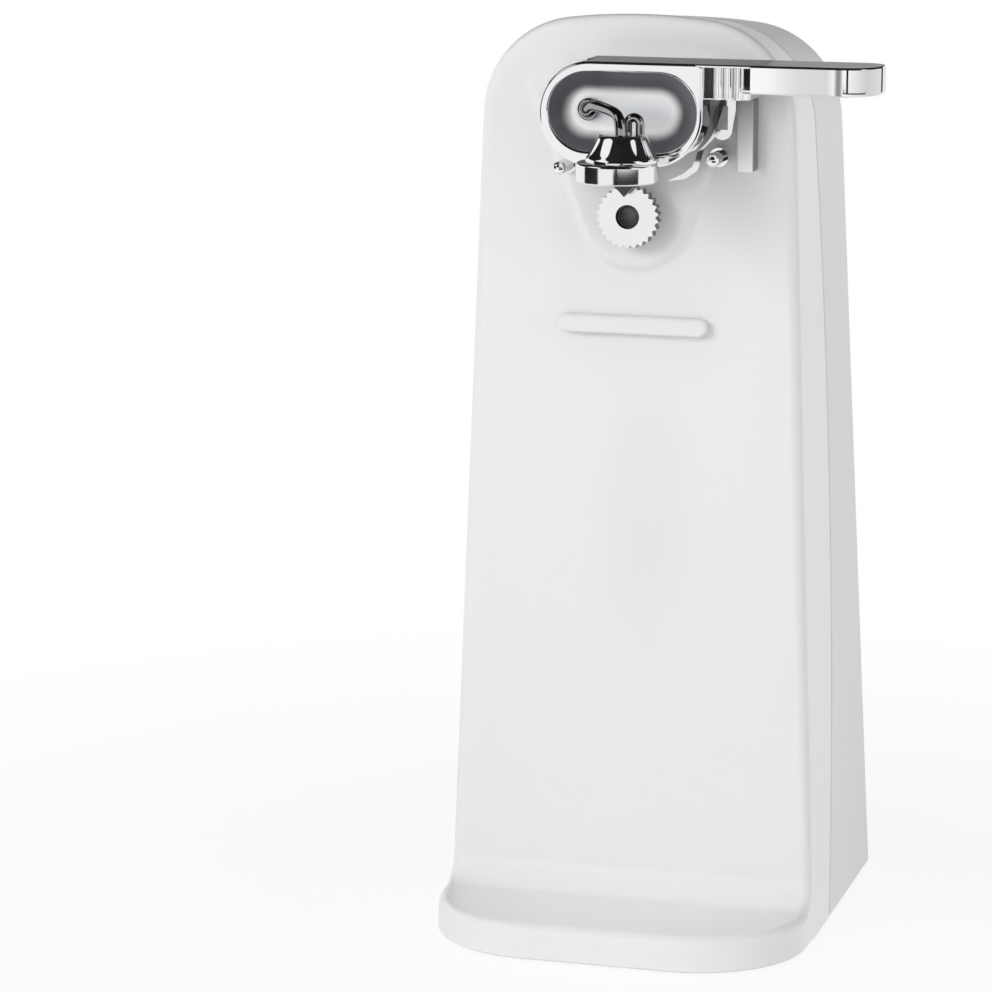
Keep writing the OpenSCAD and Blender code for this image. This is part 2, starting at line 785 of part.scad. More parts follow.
module rear_housing() placed() color("white")
    difference() {
        union() {
            difference() {
                body_form(0, rim_z);
                seam_drum(seam_r + seam_gap);
                body_form(wall, rim_z - over);
            }
            intersection() {
                body_form(wall / 2, rim_z);
                union() {
                    for (p = shell_screws)
                        rod_y(shell_boss_r, shell_boss_y, body_depth, p[0], p[1]);
                    base_bosses(rear_base_screws, rear_half_w);
                }
            }
        }
        for (p = shell_screws) {
            rod_y(shell_head_r + loose, shell_head_y, body_depth + over, p[0], p[1]);
            rod_y(shell_screw_r + hole_clear, shell_boss_y - over, shell_head_y + over, p[0], p[1]);
        }
        base_screw_holes(rear_base_screws);
        rod_y(gland_r, lead_y, body_depth + over, 0, gland_z);
        for (i = [-3:3])
            translate([i * vent_pitch - vent_w / 2, fan_y, motor_z - vent_h / 2])
                cube([vent_w, body_depth - fan_y, vent_h]);
    }

module base_plate() placed() color("gainsboro")
    difference() {
        translate([0, 0, base_z]) linear_extrude(base_t) base_outline();
        for (p = base_screws) translate([p[0], p[1], 0]) {
            cylinder(r = base_screw_r + hole_clear, h = base_boss_z + over);
            cylinder(r = base_head_r + plate_clear, h = base_z + base_head_t);
        }
        for (p = feet) translate([p[0], p[1], 0]) cylinder(r = foot_stem_r, h = base_boss_z + over);
    }

module base_outline() {
    inset = wall + loose;
    half = body_half_w - tan(side_lean) * base_boss_z - inset;
    back = body_depth - tan(rear_lean) * base_boss_z - inset;
    rear_half = rear_half_w - tan(side_lean) * base_boss_z - inset;
    polygon(concat(
        arc([-half + foot_corner_r - inset, foot_corner_r - foot_reach], foot_corner_r - inset, 180, 270, 12),
        arc([half - foot_corner_r + inset, foot_corner_r - foot_reach], foot_corner_r - inset, 270, 360, 12),
        [[rear_half - 1, back], [-rear_half + 1, back]]));
}

module rubber_feet() placed() color("dimgray")
    for (p = feet) translate([p[0], p[1], 0]) {
        cylinder(r = foot_pad_r, h = base_z);
        cylinder(r = foot_stem_r, h = base_boss_z);
        translate([0, 0, base_boss_z]) cylinder(r = foot_knob_r, h = foot_knob_h);
    }

module base_screw_set() placed() color("silver")
    for (p = base_screws) translate([p[0], p[1], base_z]) {
        cylinder(r = base_head_r, h = base_head_t);
        cylinder(r = base_screw_r, h = base_t + base_boss_h - 2);
    }

module shell_screw_set() placed() color("silver")
    for (p = shell_screws) {
        rod_y(shell_screw_r, shell_screw_y, shell_head_y, p[0], p[1]);
        difference() {
            rod_y(shell_head_r, shell_head_y, shell_head_end, p[0], p[1]);
            along_y(shell_head_end - shell_slot_t, shell_head_end + over, p[0], p[1])
                for (a = [0, 90]) rotate(a) square([shell_slot_l, shell_slot_w], center = true);
        }
    }

module cord_gland() placed() color("dimgray") {
    face = body_depth - tan(rear_lean) * gland_z;
    difference() {
        union() {
            rod_y(gland_r, face - wall - 5, face + 1.4, 0, gland_z);
            rod_y(gland_flange_r, face + 0.6, face + 1.5, 0, gland_z);
            rod_y(gland_flange_r, face - wall - 3, face - wall - 1, 0, gland_z);
        }
        rod_y(gland_bore_r, face - wall - 5 - over, face + 1.5 + over, 0, gland_z);
    }
}

// ---- Lever assembly ----------------------------------------------------------

module plate_shape() {
    translate([plate_left_x, plate_mid_z]) circle(r = plate_r);
    translate([plate_right_x, plate_mid_z]) circle(r = plate_r);
    translate([plate_left_x, plate_mid_z - plate_r]) square([plate_right_x - plate_left_x, 2 * plate_r]);
    translate([plate_right_x, plate_mid_z]) square([plate_r, plate_r]);
}

module dish() {
    inset = dish_r - dish_floor_r;
    hull()
        for (x = [dish_left_x, dish_right_x]) {
            rod_y(dish_r, -lever_reach - over, -lever_reach, x, dish_z);
            rod_y(dish_r - 0.35 * inset, -lever_reach, -lever_reach + 0.6 * dish_depth, x, dish_z);
            rod_y(dish_floor_r, -lever_reach, dish_floor, x, dish_z);
        }
}

module handle_outline()
    polygon(concat(
        [[handle_left, lever_back]],
        arc([handle_left + handle_left_r, -lever_reach + handle_left_r], handle_left_r, 180, 270, 6),
        arc([handle_right - handle_end_r, -lever_reach + handle_end_r], handle_end_r, 270, 360, 10),
        arc([handle_right - handle_back_r, lever_back - handle_back_r], handle_back_r, 0, 90, 8)));

module lever_body() placed() color("silver")
    difference() {
        union() {
            along_y(-lever_reach, plate_back) plate_shape();
            along_y(plate_back - slice_t, lever_back) intersection() {
                plate_shape();
                translate([plate_left, lever_top_z - lever_wall])
                    square([plate_right - plate_left, lever_wall]);
            }
            translate([plate_right - slice_t, neck_front, neck_z])
                cube([handle_left - plate_right + 2 * slice_t, lever_back - neck_front, neck_h]);
            translate([plate_right - slice_t, -lever_reach, lever_top_z - roof_lip])
                cube([handle_left - plate_right + roof_over_handle, lever_back + lever_reach, roof_lip]);
            for (i = [1:rib_count])
                translate([plate_right + i * rib_pitch, neck_front, neck_z])
                    cylinder(r = rib_r, h = neck_h - roof_lip / 2);
            translate([0, 0, handle_z]) linear_extrude(handle_h) handle_outline();
            rod_y(hub_r, plate_back - slice_t, lever_back, pivot_x, pivot_z);
        }
        dish();
        rod_y(eyelet_r, -lever_reach, plate_back, pivot_x, pivot_z);
        rod_y(chamber_r, eyelet_back, chamber_back + hole_clear, pivot_x, pivot_z);
        rod_y(pivot_shaft_r + running, chamber_back, lever_back + over, pivot_x, pivot_z);
        rod_y(blade_screw_r, plate_back - blade_screw_l - plate_clear, plate_back + over,
            blade_screw[0], blade_screw[1]);
        translate([handle_left + handle_pocket_left, -lever_reach + lever_wall, handle_z - over])
            cube([handle_right - handle_left - handle_pocket_left - handle_pocket_right,
                lever_reach - lever_back_gap - 2 * lever_wall, handle_h - lever_wall + over]);
        translate([guide_tab[0] - 0.1, guide_y - 0.1, neck_z - over])
            cube([guide_tab[1] - guide_tab[0] + 0.2, guide_t + 0.2, guide_tab_h + over + 0.1]);
    }

module cutter_blade() placed() color("gray")
    difference() {
        tip = blade_tip_z - plate_mid_z;
        along_y(blade_front, blade_back, 0, plate_mid_z) polygon([
            [0.6, -3.3], [8.4, -3.3], [8.4, -10.8], [blade_half_w, -14.4],
            [blade_half_w, tip + 3.4], [0, tip],
            [-blade_half_w, tip + 3.4], [-blade_half_w, -13.3], [0.6, -8.8]]);
        rod_y(blade_screw_r, blade_front - over, blade_back + over, blade_screw[0], blade_screw[1]);
    }

module blade_screw_piece() placed() color("silver")
    difference() {
        union() {
            rod_y(blade_screw_r, plate_back - blade_screw_l, blade_back, blade_screw[0], blade_screw[1]);
            rod_y(blade_screw_head_r, blade_back, blade_back + blade_screw_head_t,
                blade_screw[0], blade_screw[1]);
        }
        along_y(blade_back + 0.8, blade_back + 2, blade_screw[0], blade_screw[1])
            square([2 * blade_screw_head_r + over, 0.7], center = true);
    }

module guide_plate() placed() color("silver")
    along_y(guide_y, guide_y + guide_t, 0, plate_mid_z) difference() {
        neck = neck_z - plate_mid_z;
        polygon(concat(
            [[guide_tab[1], neck + guide_tab_h], [guide_tab[0], neck + guide_tab_h],
             [guide_tab[0], neck - 0.6]],
            arc([25.2, -3.2], 6, 118, 190, 5),
            arc([13.4, -5.2], 6, 6, -38, 4),
            [[17.5, -11.4], [16.6, -13.9], [14.2, -15.9], [10, -17.9], [14.6, -17.2],
             [17.9, -15], [18.8, -12.2], [19.6, -9.2]],
            arc([24.2, -4.4], 2.6, 225, 340, 6),
            [[guide_tab[1], neck - 3]]));
        polygon([[24.4, 1.6], [22.6, -4.4], [25.6, -4.4], [25.6, 1.6]]);
    }

module pivot_shaft() placed() color("silver")
    rod_y(pivot_shaft_r, pivot_shaft_front, pivot_shaft_back, pivot_x, pivot_z);

module pivot_clip() placed() color("gray")
    tube_y(pivot_shaft_r + clip_wall, pivot_shaft_r, pivot_bushing_end + plate_clear,
        pivot_bushing_end + plate_clear + clip_t, pivot_x, pivot_z);

module pivot_bushing() placed() color("goldenrod")
    flanged_bush(pivot_bushing_r, pivot_shaft_r + running, pad_face, pivot_bushing_end,
        pivot_bushing_r + bush_flange_over, wall, wall + bush_flange_t, pivot_x, pivot_z);

module locating_pin(p, collar_r, collar_l) {
    rod_y(pin_r, -pin_reach + pin_r, wall + pin_head_t, p[0], p[1]);
    intersection() {
        translate([p[0], -pin_reach + pin_r, p[1]]) sphere(r = pin_r);
        rod_y(pin_r, -pin_reach - over, -pin_reach + pin_r, p[0], p[1]);
    }
    rod_y(collar_r, pad_face - collar_l, pad_face, p[0], p[1]);
    rod_y(pin_r + pin_head_over, wall, wall + pin_head_t, p[0], p[1]);
}

module left_locating_pin() placed() color("silver") locating_pin(left_pin_pos, pin_r + 0.35, 1);

module right_locating_pin() placed() color("silver") locating_pin(right_pin_pos, pin_r + 0.65, 3);

// ---- Lid magnet --------------------------------------------------------------

module magnet_arm() placed() color("silver") {
    rod_y(arm_wire_r, arm_bend_y, plate_back + 0.8, pivot_x, pivot_z);
    swept_wire([
        [pivot_x, arm_bend_y + 0.6, pivot_z],
        [pivot_x, arm_bend_y - 1.1, pivot_z],
        [-5, arm_bend_y - 4.3, pivot_z + 2],
        [-1, magnet_y + 5.2, pivot_z + 1.4],
        [3.6, arm_y + 1.6, pivot_z + 0.6],
        [arm_x, arm_y, pivot_z - 2],
        arm_leg], arm_wire_r * wire_ease, 16, 6);
}

module arm_clip() placed() color("gray")
    tube_y(arm_wire_r + 1.2, arm_wire_r, plate_back + 0.1, plate_back + 0.6, pivot_x, pivot_z);

module magnet_eyelet() placed() color("silver")
    flanged_bush(eyelet_r, arm_wire_r + running, eyelet_front, eyelet_back,
        eyelet_flange_r, eyelet_front, dish_floor, pivot_x, pivot_z);

module holder_hoop() placed() color("silver") {
    top = cone_z + cone_h + hoop_rise;
    for (s = [-1, 1])
        translate([hoop_x + s * hoop_half, hoop_y, arm_leg[2]])
            cylinder(r = hoop_wire_r, h = top - arm_leg[2]);
    translate([hoop_x, hoop_y, top]) rotate([90, 0, 0])
        rotate_extrude(angle = 180) translate([hoop_half, 0]) circle(r = hoop_wire_r, $fn = 24);
}

module magnet_holder() placed() color("silver")
    difference() {
        union() {
            translate([cone_x, magnet_y, cone_z + cone_foot_h])
                cylinder(r1 = cone_base_r, r2 = cone_top_r, h = cone_h - cone_foot_h);
            translate([cone_x, magnet_y, cone_z]) cylinder(r = cone_base_r, h = cone_foot_h);
        }
        translate(arm_leg) cylinder(r = arm_wire_r, h = cone_h);
        for (s = [-1, 1])
            translate([hoop_x + s * hoop_half, hoop_y, arm_leg[2]]) cylinder(r = hoop_wire_r, h = cone_h);
    }

module magnet_cup() placed() color("silver")
    translate([magnet_x, magnet_y, cup_z]) difference() {
        cylinder(r = cup_r, h = cup_h);
        translate([0, 0, -over]) cylinder(r = cup_r - cup_wall, h = cup_h - cup_wall + over);
    }

module lid_magnet() placed() color("dimgray")
    translate([magnet_x, magnet_y, cup_z + 0.2]) cylinder(r = cup_r - cup_wall, h = cup_h - cup_wall - 0.2);

// ---- Switch ------------------------------------------------------------------

module switch_button() placed() color("whitesmoke") {
    translate([button_x, -button_reach, button_z]) cube([button_w, button_reach + wall + loose, button_h]);
    translate([button_x - flange_side, wall + loose, slot_z - flange_end])
        cube([button_w + 2 * flange_side, flange_t, button_top - slot_z + 2 * flange_end]);
    translate([button_mid_x - stem_w / 2, wall + loose + flange_t, stem_z])
        cube([stem_w, stem_back - wall - loose - flange_t, stem_h]);
}

module switch_plunger() placed() color("firebrick")
    translate([button_mid_x, plunger_y, switch_top - plunger_depth])
        cylinder(r = plunger_r, h = plunger_top - switch_top + plunger_depth);

module switch_body() placed() color("dimgray")
    difference() {
        translate([switch_x, switch_y, switch_z]) cube([switch_w, switch_len, switch_h]);
        translate([button_mid_x, plunger_y, switch_top - plunger_depth - button_travel - loose])
            cylinder(r = plunger_r + hole_clear, h = plunger_depth + button_travel + loose + over);
        for (y = switch_screw_ys)
            translate([switch_x - over, y, switch_screw_z]) rotate([0, 90, 0])
                cylinder(r = switch_screw_r, h = switch_w + 2 * over);
    }

module switch_terminals() placed() color("goldenrod")
    for (y = terminal_ys)
        translate([terminal_x - terminal_t / 2, y - terminal_w / 2, switch_z - terminal_l])
            cube([terminal_t, terminal_w, terminal_l]);

module switch_screw_set() placed() color("silver")
    for (y = switch_screw_ys) translate([switch_x, y, switch_screw_z]) rotate([0, 90, 0]) {
        cylinder(r = switch_screw_r, h = switch_w + switch_rib_t);
        translate([0, 0, -switch_head_t]) cylinder(r = switch_head_r, h = switch_head_t);
    }

// Coil of round wire, swept as one closed tube of square rings
module button_spring() placed() color("silver") {
    sides = 6;
    per_turn = 14;
    rings = per_turn * spring_turns;
    len = stem_z - spring_seat_z - 2 * spring_wire_r;
    points = [for (i = [0:rings], k = [0:sides - 1])
        let (a = 360 * i / per_turn, b = 360 * k / sides, r = spring_r + spring_wire_r * cos(b))
        [r * cos(a), r * sin(a), len * i / rings + spring_wire_r * (1 + sin(b))]];
    skin = [for (i = [0:rings - 1], k = [0:sides - 1])
        let (n = (k + 1) % sides)
        [i * sides + k, i * sides + n, (i + 1) * sides + n, (i + 1) * sides + k]];
    caps = [[for (k = [sides - 1:-1:0]) k], [for (k = [0:sides - 1]) rings * sides + k]];
    translate([button_mid_x, spring_y, spring_seat_z]) polyhedron(points, concat(skin, caps));
}

// ---- Gear train --------------------------------------------------------------

function inv(a) = tan(a) - a * PI / 180;

// Outline of one involute gear with a tooth centred on +X
module gear_shape(m, teeth, shift, steps) {
    rp = m * teeth / 2;
    rb = rp * cos(pressure_angle);
    ra = rp + m * (1 + shift);
    rf = rp - m * (1.25 - shift);
    lowest = max(rb, rf);
    half_pitch = ((PI / 2 + 2 * shift * tan(pressure_angle)) * m - backlash / 2) / (2 * rp) * 180 / PI;
    half_base = half_pitch + inv(pressure_angle) * 180 / PI;
    flank = [for (i = [0:steps])
        let (r = lowest + (ra - lowest) * i / steps,
             a = half_base - inv(acos(min(1, rb / r))) * 180 / PI)
        [r, a]];
    root_a = flank[0][1];
    tooth = concat([[rf, -root_a]],
        [for (p = flank) [p[0], -p[1]]],
        [for (i = [steps:-1:0]) flank[i]],
        [[rf, root_a]]);
    polygon([for (t = [0:teeth - 1], p = tooth)
        let (a = t * 360 / teeth + p[1]) [p[0] * cos(a), p[0] * sin(a)]]);
}

module gear_y(layer, p, turn, m, teeth, shift, steps)
    along_y(layer[0], layer[1], p[0], p[1]) rotate(turn) gear_shape(m, teeth, shift, steps);

module output_gear() placed() color("wheat")
    difference() {
        gear_y(layer_a, feed_pos, output_turn, output_module, output_teeth, -profile_shift, 3);
        rod_y(feed_shaft_r, layer_a[0] - over, layer_a[1] + over, feed_pos[0], feed_pos[1]);
    }

// A wheel, its pinion in front of it and a hub at each end, on one bore
module second_gear() placed() color("wheat")
    difference() {
        union() {
            gear_y(layer_b, second_pos, second_turn, second_module, second_teeth, -profile_shift, 3);
            gear_y([layer_a[0] - pinion_over, layer_b[0] + over], second_pos, second_pinion_turn,
                output_module, second_pinion_teeth, profile_shift, 5);
            rod_y(gear_hub_r, hub_front, hub_back, second_pos[0], second_pos[1]);
        }
        rod_y(axle_r + running, hub_front - over, hub_back + over, second_pos[0], second_pos[1]);
    }

module first_gear() placed() color("wheat")
    difference() {
        union() {
            gear_y(layer_c, first_pos, first_turn, first_module, first_teeth, -profile_shift, 3);
            gear_y([layer_b[0] - pinion_over, layer_c[0] + over], first_pos, first_pinion_turn,
                second_module, first_pinion_teeth, profile_shift, 5);
            rod_y(gear_hub_r, hub_front, hub_back, first_pos[0], first_pos[1]);
        }
        rod_y(axle_r + running, hub_front - over, hub_back + over, first_pos[0], first_pos[1]);
    }

module motor_pinion() placed() color("silver")
    difference() {
        gear_y([layer_c[0] - pinion_over, layer_c[1] + over], motor_pos, motor_turn,
            first_module, motor_teeth, profile_shift, 5);
        rod_y(motor_shaft_r, layer_c[0] - over, layer_c[1] + 2 * over, motor_pos[0], motor_pos[1]);
    }

module feed_wheel() placed() color("silver")
    along_y(wheel_front, wheel_back, feed_pos[0], feed_pos[1]) difference() {
        polygon([for (i = [0:2 * wheel_teeth - 1])
            let (a = 90 + 180 * i / wheel_teeth, r = wheel_r - wheel_tooth_h * (i % 2))
            [r * cos(a), r * sin(a)]]);
        circle(r = wheel_hole_r);
    }

module feed_shaft() placed() color("gray") {
    rod_y(wheel_hole_r, feed_nose_front, wheel_back, feed_pos[0], feed_pos[1]);
    rod_y(feed_shaft_r, wheel_back, feed_journal_y, feed_pos[0], feed_pos[1]);
    rod_y(feed_journal_r, feed_journal_y, feed_end, feed_pos[0], feed_pos[1]);
}

module feed_clip() placed() color("gray")
    tube_y(feed_journal_r + clip_wall, feed_journal_r, rear_bushing_y[1] + plate_clear,
        rear_bushing_y[1] + plate_clear + clip_t, feed_pos[0], feed_pos[1]);

module front_bushing() placed() color("goldenrod")
    flanged_bush(bushing_r, feed_shaft_r + running, pad_face, front_bushing_end,
        bushing_r + bush_flange_over, wall, wall + bush_flange_t, feed_pos[0], feed_pos[1]);

module rear_bushing() placed() color("goldenrod")
    tube_y(rear_bushing_r, feed_journal_r + running, rear_bushing_y[0], rear_bushing_y[1],
        feed_pos[0], feed_pos[1]);

module gear_axles() placed() color("silver")
    for (p = [second_pos, first_pos]) rod_y(axle_r, front_plate_y, back_plate_end, p[0], p[1]);

module plate_outline(points, r)
    hull() for (p = points) translate(p) circle(r = r, $fn = 32);

module front_gear_plate() placed() color("lightsteelblue")
    along_y(front_plate_y, front_plate_y + gear_plate_t) difference() {
        plate_outline(posts, post_plate_r);
        translate(feed_pos) circle(r = bushing_r);
        for (p = [second_pos, first_pos]) translate(p) circle(r = axle_r);
        for (p = posts) translate(p) circle(r = post_screw_r);
    }

module back_gear_plate() placed() color("lightsteelblue")
    along_y(back_plate_y, back_plate_end) difference() {
        plate_outline(concat(posts, motor_screws, [motor_pos - [0, 8]]), post_plate_r);
        translate(feed_pos) circle(r = rear_bushing_r);
        for (p = [second_pos, first_pos]) translate(p) circle(r = axle_r);
        translate(motor_pos) circle(r = motor_hole_r);
        for (p = posts) translate(p) circle(r = post_screw_r);
        for (p = motor_screws) translate(p) circle(r = motor_screw_r);
    }

module plate_posts() placed() color("silver")
    for (p = posts) tube_y(post_r, post_screw_r, front_plate_y + gear_plate_t, back_plate_y, p[0], p[1]);

module gear_plate_screws() placed() color("silver")
    for (p = posts) {
        rod_y(post_screw_r, post_screw_y, back_plate_end, p[0], p[1]);
        rod_y(post_head_r, back_plate_end, back_plate_end + post_head_t, p[0], p[1]);
    }

// ---- Motor -------------------------------------------------------------------

module motor_shaft() placed() color("silver")
    rod_y(motor_shaft_r, layer_c[0] - 1, fan_y + fan_t + 0.8, motor_pos[0], motor_pos[1]);

module rotor_core() placed() color("slategray")
    tube_y(rotor_r, motor_shaft_r, stack_y - 0.3, stack_end + 0.3, motor_pos[0], motor_pos[1]);

module motor_fan() placed() color("whitesmoke")
    difference() {
        union() {
            rod_y(fan_hub_r, fan_y, fan_y + fan_t, motor_pos[0], motor_pos[1]);
            rod_y(fan_r, fan_y, fan_y + fan_disc_t, motor_pos[0], motor_pos[1]);
            translate([motor_pos[0], fan_y + fan_disc_t / 2, motor_pos[1]])
                for (i = [0:fan_blades - 1]) rotate([0, i * 360 / fan_blades, 0])
                    translate([fan_hub_r - 1, 0, -fan_blade_t / 2])
                        cube([fan_r - fan_hub_r, fan_t - fan_disc_t, fan_blade_t]);
        }
        rod_y(motor_shaft_r, fan_y - over, fan_y + fan_t + over, motor_pos[0], motor_pos[1]);
    }

module stator_core() placed() color("slategray")
    along_y(stack_y, stack_end) difference() {
        translate([-stack_half_w, stack_bottom]) square([2 * stack_half_w, stack_top - stack_bottom]);
        translate(motor_pos) circle(r = rotor_r + air_gap);
        translate([-window_half_w, window_bottom]) square([2 * window_half_w, window_top - window_bottom]);
        for (p = motor_screws) translate(p) circle(r = motor_screw_r);
    }

// Rectangular ring round the coil leg of the stack, grown by two distances
module coil_ring(inner, outer, x0, x1)
    difference() {
        translate([x0, stack_y - outer, stack_bottom - outer])
            cube([x1 - x0, stack_t + 2 * outer, window_bottom - stack_bottom + 2 * outer]);
        translate([x0 - over, stack_y - inner, stack_bottom - inner])
            cube([x1 - x0 + 2 * over, stack_t + 2 * inner, window_bottom - stack_bottom + 2 * inner]);
    }

module coil_bobbin() placed() color("white") {
    coil_ring(0.1, bobbin_wall, -bobbin_half, bobbin_half);
    for (x = [-bobbin_half, bobbin_half - bobbin_flange_t])
        coil_ring(bobbin_wall, bobbin_flange, x, x + bobbin_flange_t);
}

module coil_winding() placed() color("chocolate")
    coil_ring(bobbin_wall, bobbin_flange - winding_drop, -bobbin_half + bobbin_flange_t,
        bobbin_half - bobbin_flange_t);

module bracket(plate_y, leg_y0, leg_y1, hub_y0, hub_y1)
    difference() {
        union() {
            along_y(plate_y, plate_y + bracket_t)
                plate_outline(concat(motor_screws, [motor_pos - [0, bracket_drop]]), bracket_edge_r);
            for (p = motor_screws) rod_y(motor_leg_r, leg_y0, leg_y1, p[0], p[1]);
            rod_y(motor_bearing_r + motor_bearing_wall, hub_y0, hub_y1, motor_pos[0], motor_pos[1]);
        }
        rod_y(motor_bearing_r, hub_y0 - over, hub_y1 + over, motor_pos[0], motor_pos[1]);
        for (p = motor_screws) rod_y(motor_screw_r, leg_y0 - over, leg_y1 + over, p[0], p[1]);
    }

module front_motor_bracket() placed() color("silver")
    bracket(back_plate_end, back_plate_end, stack_y, back_plate_end, stack_y - bearing_gap);

module rear_motor_bracket() placed() color("silver")
    bracket(rear_bracket_y, stack_end, rear_bracket_y + bracket_t, stack_end + bearing_gap,
        rear_bracket_y + bracket_t);

module motor_bearings() placed() color("goldenrod") {
    for (y = [[back_plate_end - bearing_gap, stack_y - bearing_gap],
              [stack_end + bearing_gap, rear_bracket_y + bracket_t]])
        tube_y(motor_bearing_r, motor_shaft_r + running, y[0], y[1], motor_pos[0], motor_pos[1]);
}

module motor_screw_set() placed() color("silver")
    for (p = motor_screws) {
        rod_y(motor_screw_r, back_plate_y - 1, rear_bracket_y + bracket_t, p[0], p[1]);
        rod_y(post_head_r, rear_bracket_y + bracket_t, rear_bracket_y + bracket_t + post_head_t, p[0], p[1]);
    }

// Height of a lead at a share of its way from the inlet up to the switch
function lead_z(share, top) = gland_z + share * (top - gland_z);

// Insulated leads: inlet to switch, switch to coil, coil to inlet
module lead_wires() placed() color("black") {
    top = switch_z - terminal_l;
    side = stack_half_w + 4;
    swept_wire([[lead_gap, lead_y, gland_z], [lead_gap, lead_y - 8, gland_z],
        [side, lead_y - 14, lead_z(0.11, top)], [side + 4, stack_y + 7, lead_z(0.37, top)],
        [side + 2, terminal_ys[2], lead_z(0.7, top)], [side - 1, terminal_ys[2], lead_z(0.9, top)],
        [terminal_x, terminal_ys[2], top - 7], [terminal_x, terminal_ys[2], top]], lead_r, 8, 5);
    swept_wire([[terminal_x, terminal_ys[1], top], [terminal_x, terminal_ys[1], top - 6],
        [side + 3.5, terminal_ys[1] + 4, lead_z(0.87, top)], [side + 5, stack_y + 5, lead_z(0.75, top)],
        [side + 1, rear_bracket_y + 2, motor_z], [side - 12, fan_y + 1, motor_z - 22],
        [coil_lead_x, coil_back + 3.4, stack_bottom], [coil_lead_x, coil_back, stack_bottom]], lead_r, 8, 5);
    swept_wire([[-lead_gap, lead_y, gland_z], [-lead_gap, lead_y - 8, gland_z],
        [-coil_lead_x, coil_back + 6, (gland_z + stack_bottom) / 2],
        [-coil_lead_x, coil_back + 3.4, stack_bottom],
        [-coil_lead_x, coil_back, stack_bottom]], lead_r, 8, 5);
}

front_housing();
rear_housing();
base_plate();
rubber_feet();
base_screw_set();  // base_screws
shell_screw_set();  // shell_screws
cord_gland();
lever_body();
cutter_blade();
blade_screw_piece();  // blade_screw
guide_plate();
magnet_eyelet();
pivot_shaft();
pivot_clip();
pivot_bushing();
left_locating_pin();
right_locating_pin();
magnet_arm();
arm_clip();
holder_hoop();
magnet_holder();
magnet_cup();
lid_magnet();
switch_button();
switch_plunger();
switch_body();
switch_terminals();
switch_screw_set();  // switch_screws
button_spring();
feed_wheel();
feed_shaft();
feed_clip();
front_bushing();
rear_bushing();
output_gear();
second_gear();
first_gear();
gear_axles();
front_gear_plate();
back_gear_plate();
plate_posts();
gear_plate_screws();
motor_pinion();
motor_shaft();
rotor_core();
motor_fan();
stator_core();
coil_bobbin();
coil_winding();
front_motor_bracket();
rear_motor_bracket();
motor_bearings();
motor_screw_set();  // motor_screws
lead_wires();
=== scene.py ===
# Upright electric can opener: smooth forms and materials over the CAD frame.
# Shapes are written in millimetres from the middle of the housing's front face at the table.
import json
import math
import bmesh
import bpy
from mathutils import Matrix, Vector


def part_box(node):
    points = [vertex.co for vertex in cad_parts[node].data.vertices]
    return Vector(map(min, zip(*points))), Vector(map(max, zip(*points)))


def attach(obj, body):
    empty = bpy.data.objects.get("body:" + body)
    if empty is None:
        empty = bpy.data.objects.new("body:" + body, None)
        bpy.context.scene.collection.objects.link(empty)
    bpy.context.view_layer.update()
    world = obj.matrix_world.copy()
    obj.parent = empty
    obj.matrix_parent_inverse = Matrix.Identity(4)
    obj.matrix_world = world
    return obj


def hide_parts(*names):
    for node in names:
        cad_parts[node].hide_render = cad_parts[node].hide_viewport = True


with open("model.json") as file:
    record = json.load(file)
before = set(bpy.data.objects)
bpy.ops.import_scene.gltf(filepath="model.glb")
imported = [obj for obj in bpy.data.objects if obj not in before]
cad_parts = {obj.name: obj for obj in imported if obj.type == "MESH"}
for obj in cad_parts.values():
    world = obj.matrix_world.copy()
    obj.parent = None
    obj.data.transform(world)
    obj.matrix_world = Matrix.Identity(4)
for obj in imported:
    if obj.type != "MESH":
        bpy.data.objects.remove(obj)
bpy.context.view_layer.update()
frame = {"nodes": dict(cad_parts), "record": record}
NODES = frame["nodes"]

MM = 0.001
WHEEL_REACH = 8.0
wheel_low, wheel_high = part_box("feed_wheel")
MIDDLE = Vector(((wheel_low.x + wheel_high.x) / 2, wheel_low.y + WHEEL_REACH * MM, 0))

# Sizes as in the CAD source
HALF_W, REAR_HALF_W, DEPTH = 49.5, 48.9, 83.5
TOP_FRONT, TOP_REAR = 241.2, 236.4
SIDE_LEAN, REAR_LEAN = math.radians(2.24), math.radians(4.49)
CORNER_R, CROWN_R, REAR_EDGE_R, WALL = 25.8, 145.0, 3.5, 2.4
SEAM_Y, SEAM_Z, SEAM_R = 35.8, 115.0, 543.0
RIM_Z = 0.8
FOOT_REACH, FOOT_H, FOOT_R = 36.1, 10.0, 30.0
PAD_T, PAD_R, PAD_LEAN, PAD_MARGIN = 1.6, 15.9, math.radians(21), 7.0
BAR_LEN, BAR_H, BAR_Z, BAR_T = 39.4, 4.8, 161.8, 3.0
VENT_W, VENT_H, VENT_PITCH, VENT_SIDE, VENT_Z = 2.2, 26.0, 6.0, 3, 112.4
SHELL_SCREWS, SCREW_HOLE_R, SCREW_HEAD_Y = ((38.0, 22.0), (20.0, 227.0)), 3.3, 40.0
GLAND_Z, GLAND_R = 20.0, 5.6
FEED_Z, NOSE_R, NOSE_FRONT, WHEEL_BACK = 190.5, 3.1, -6.0, -4.5
SHAFT_R, JOURNAL_R, JOURNAL_Y, SHAFT_END = 4.0, 3.0, 27.6, 34.4
PIVOT_X, PIVOT_Z = -7.8, 218.6
REACH, PLATE_DEPTH, PLATE_R = 21.0, 9.0, 13.1
PLATE_L, PLATE_RIGHT, LEVER_TOP, LEVER_WALL, LEVER_BACK = -19.9, 22.2, 230.9, 3.0, -3.0
HANDLE_H, HANDLE_L, HANDLE_R, HANDLE_END_R, HANDLE_BACK_R = 7.3, 31.3, 66.0, 9.0, 6.0
NECK_FRONT, NECK_Z = -14.0, 221.5
DISH_DEPTH, DISH_R, DISH_FLOOR_R = 5.0, 10.0, 5.0
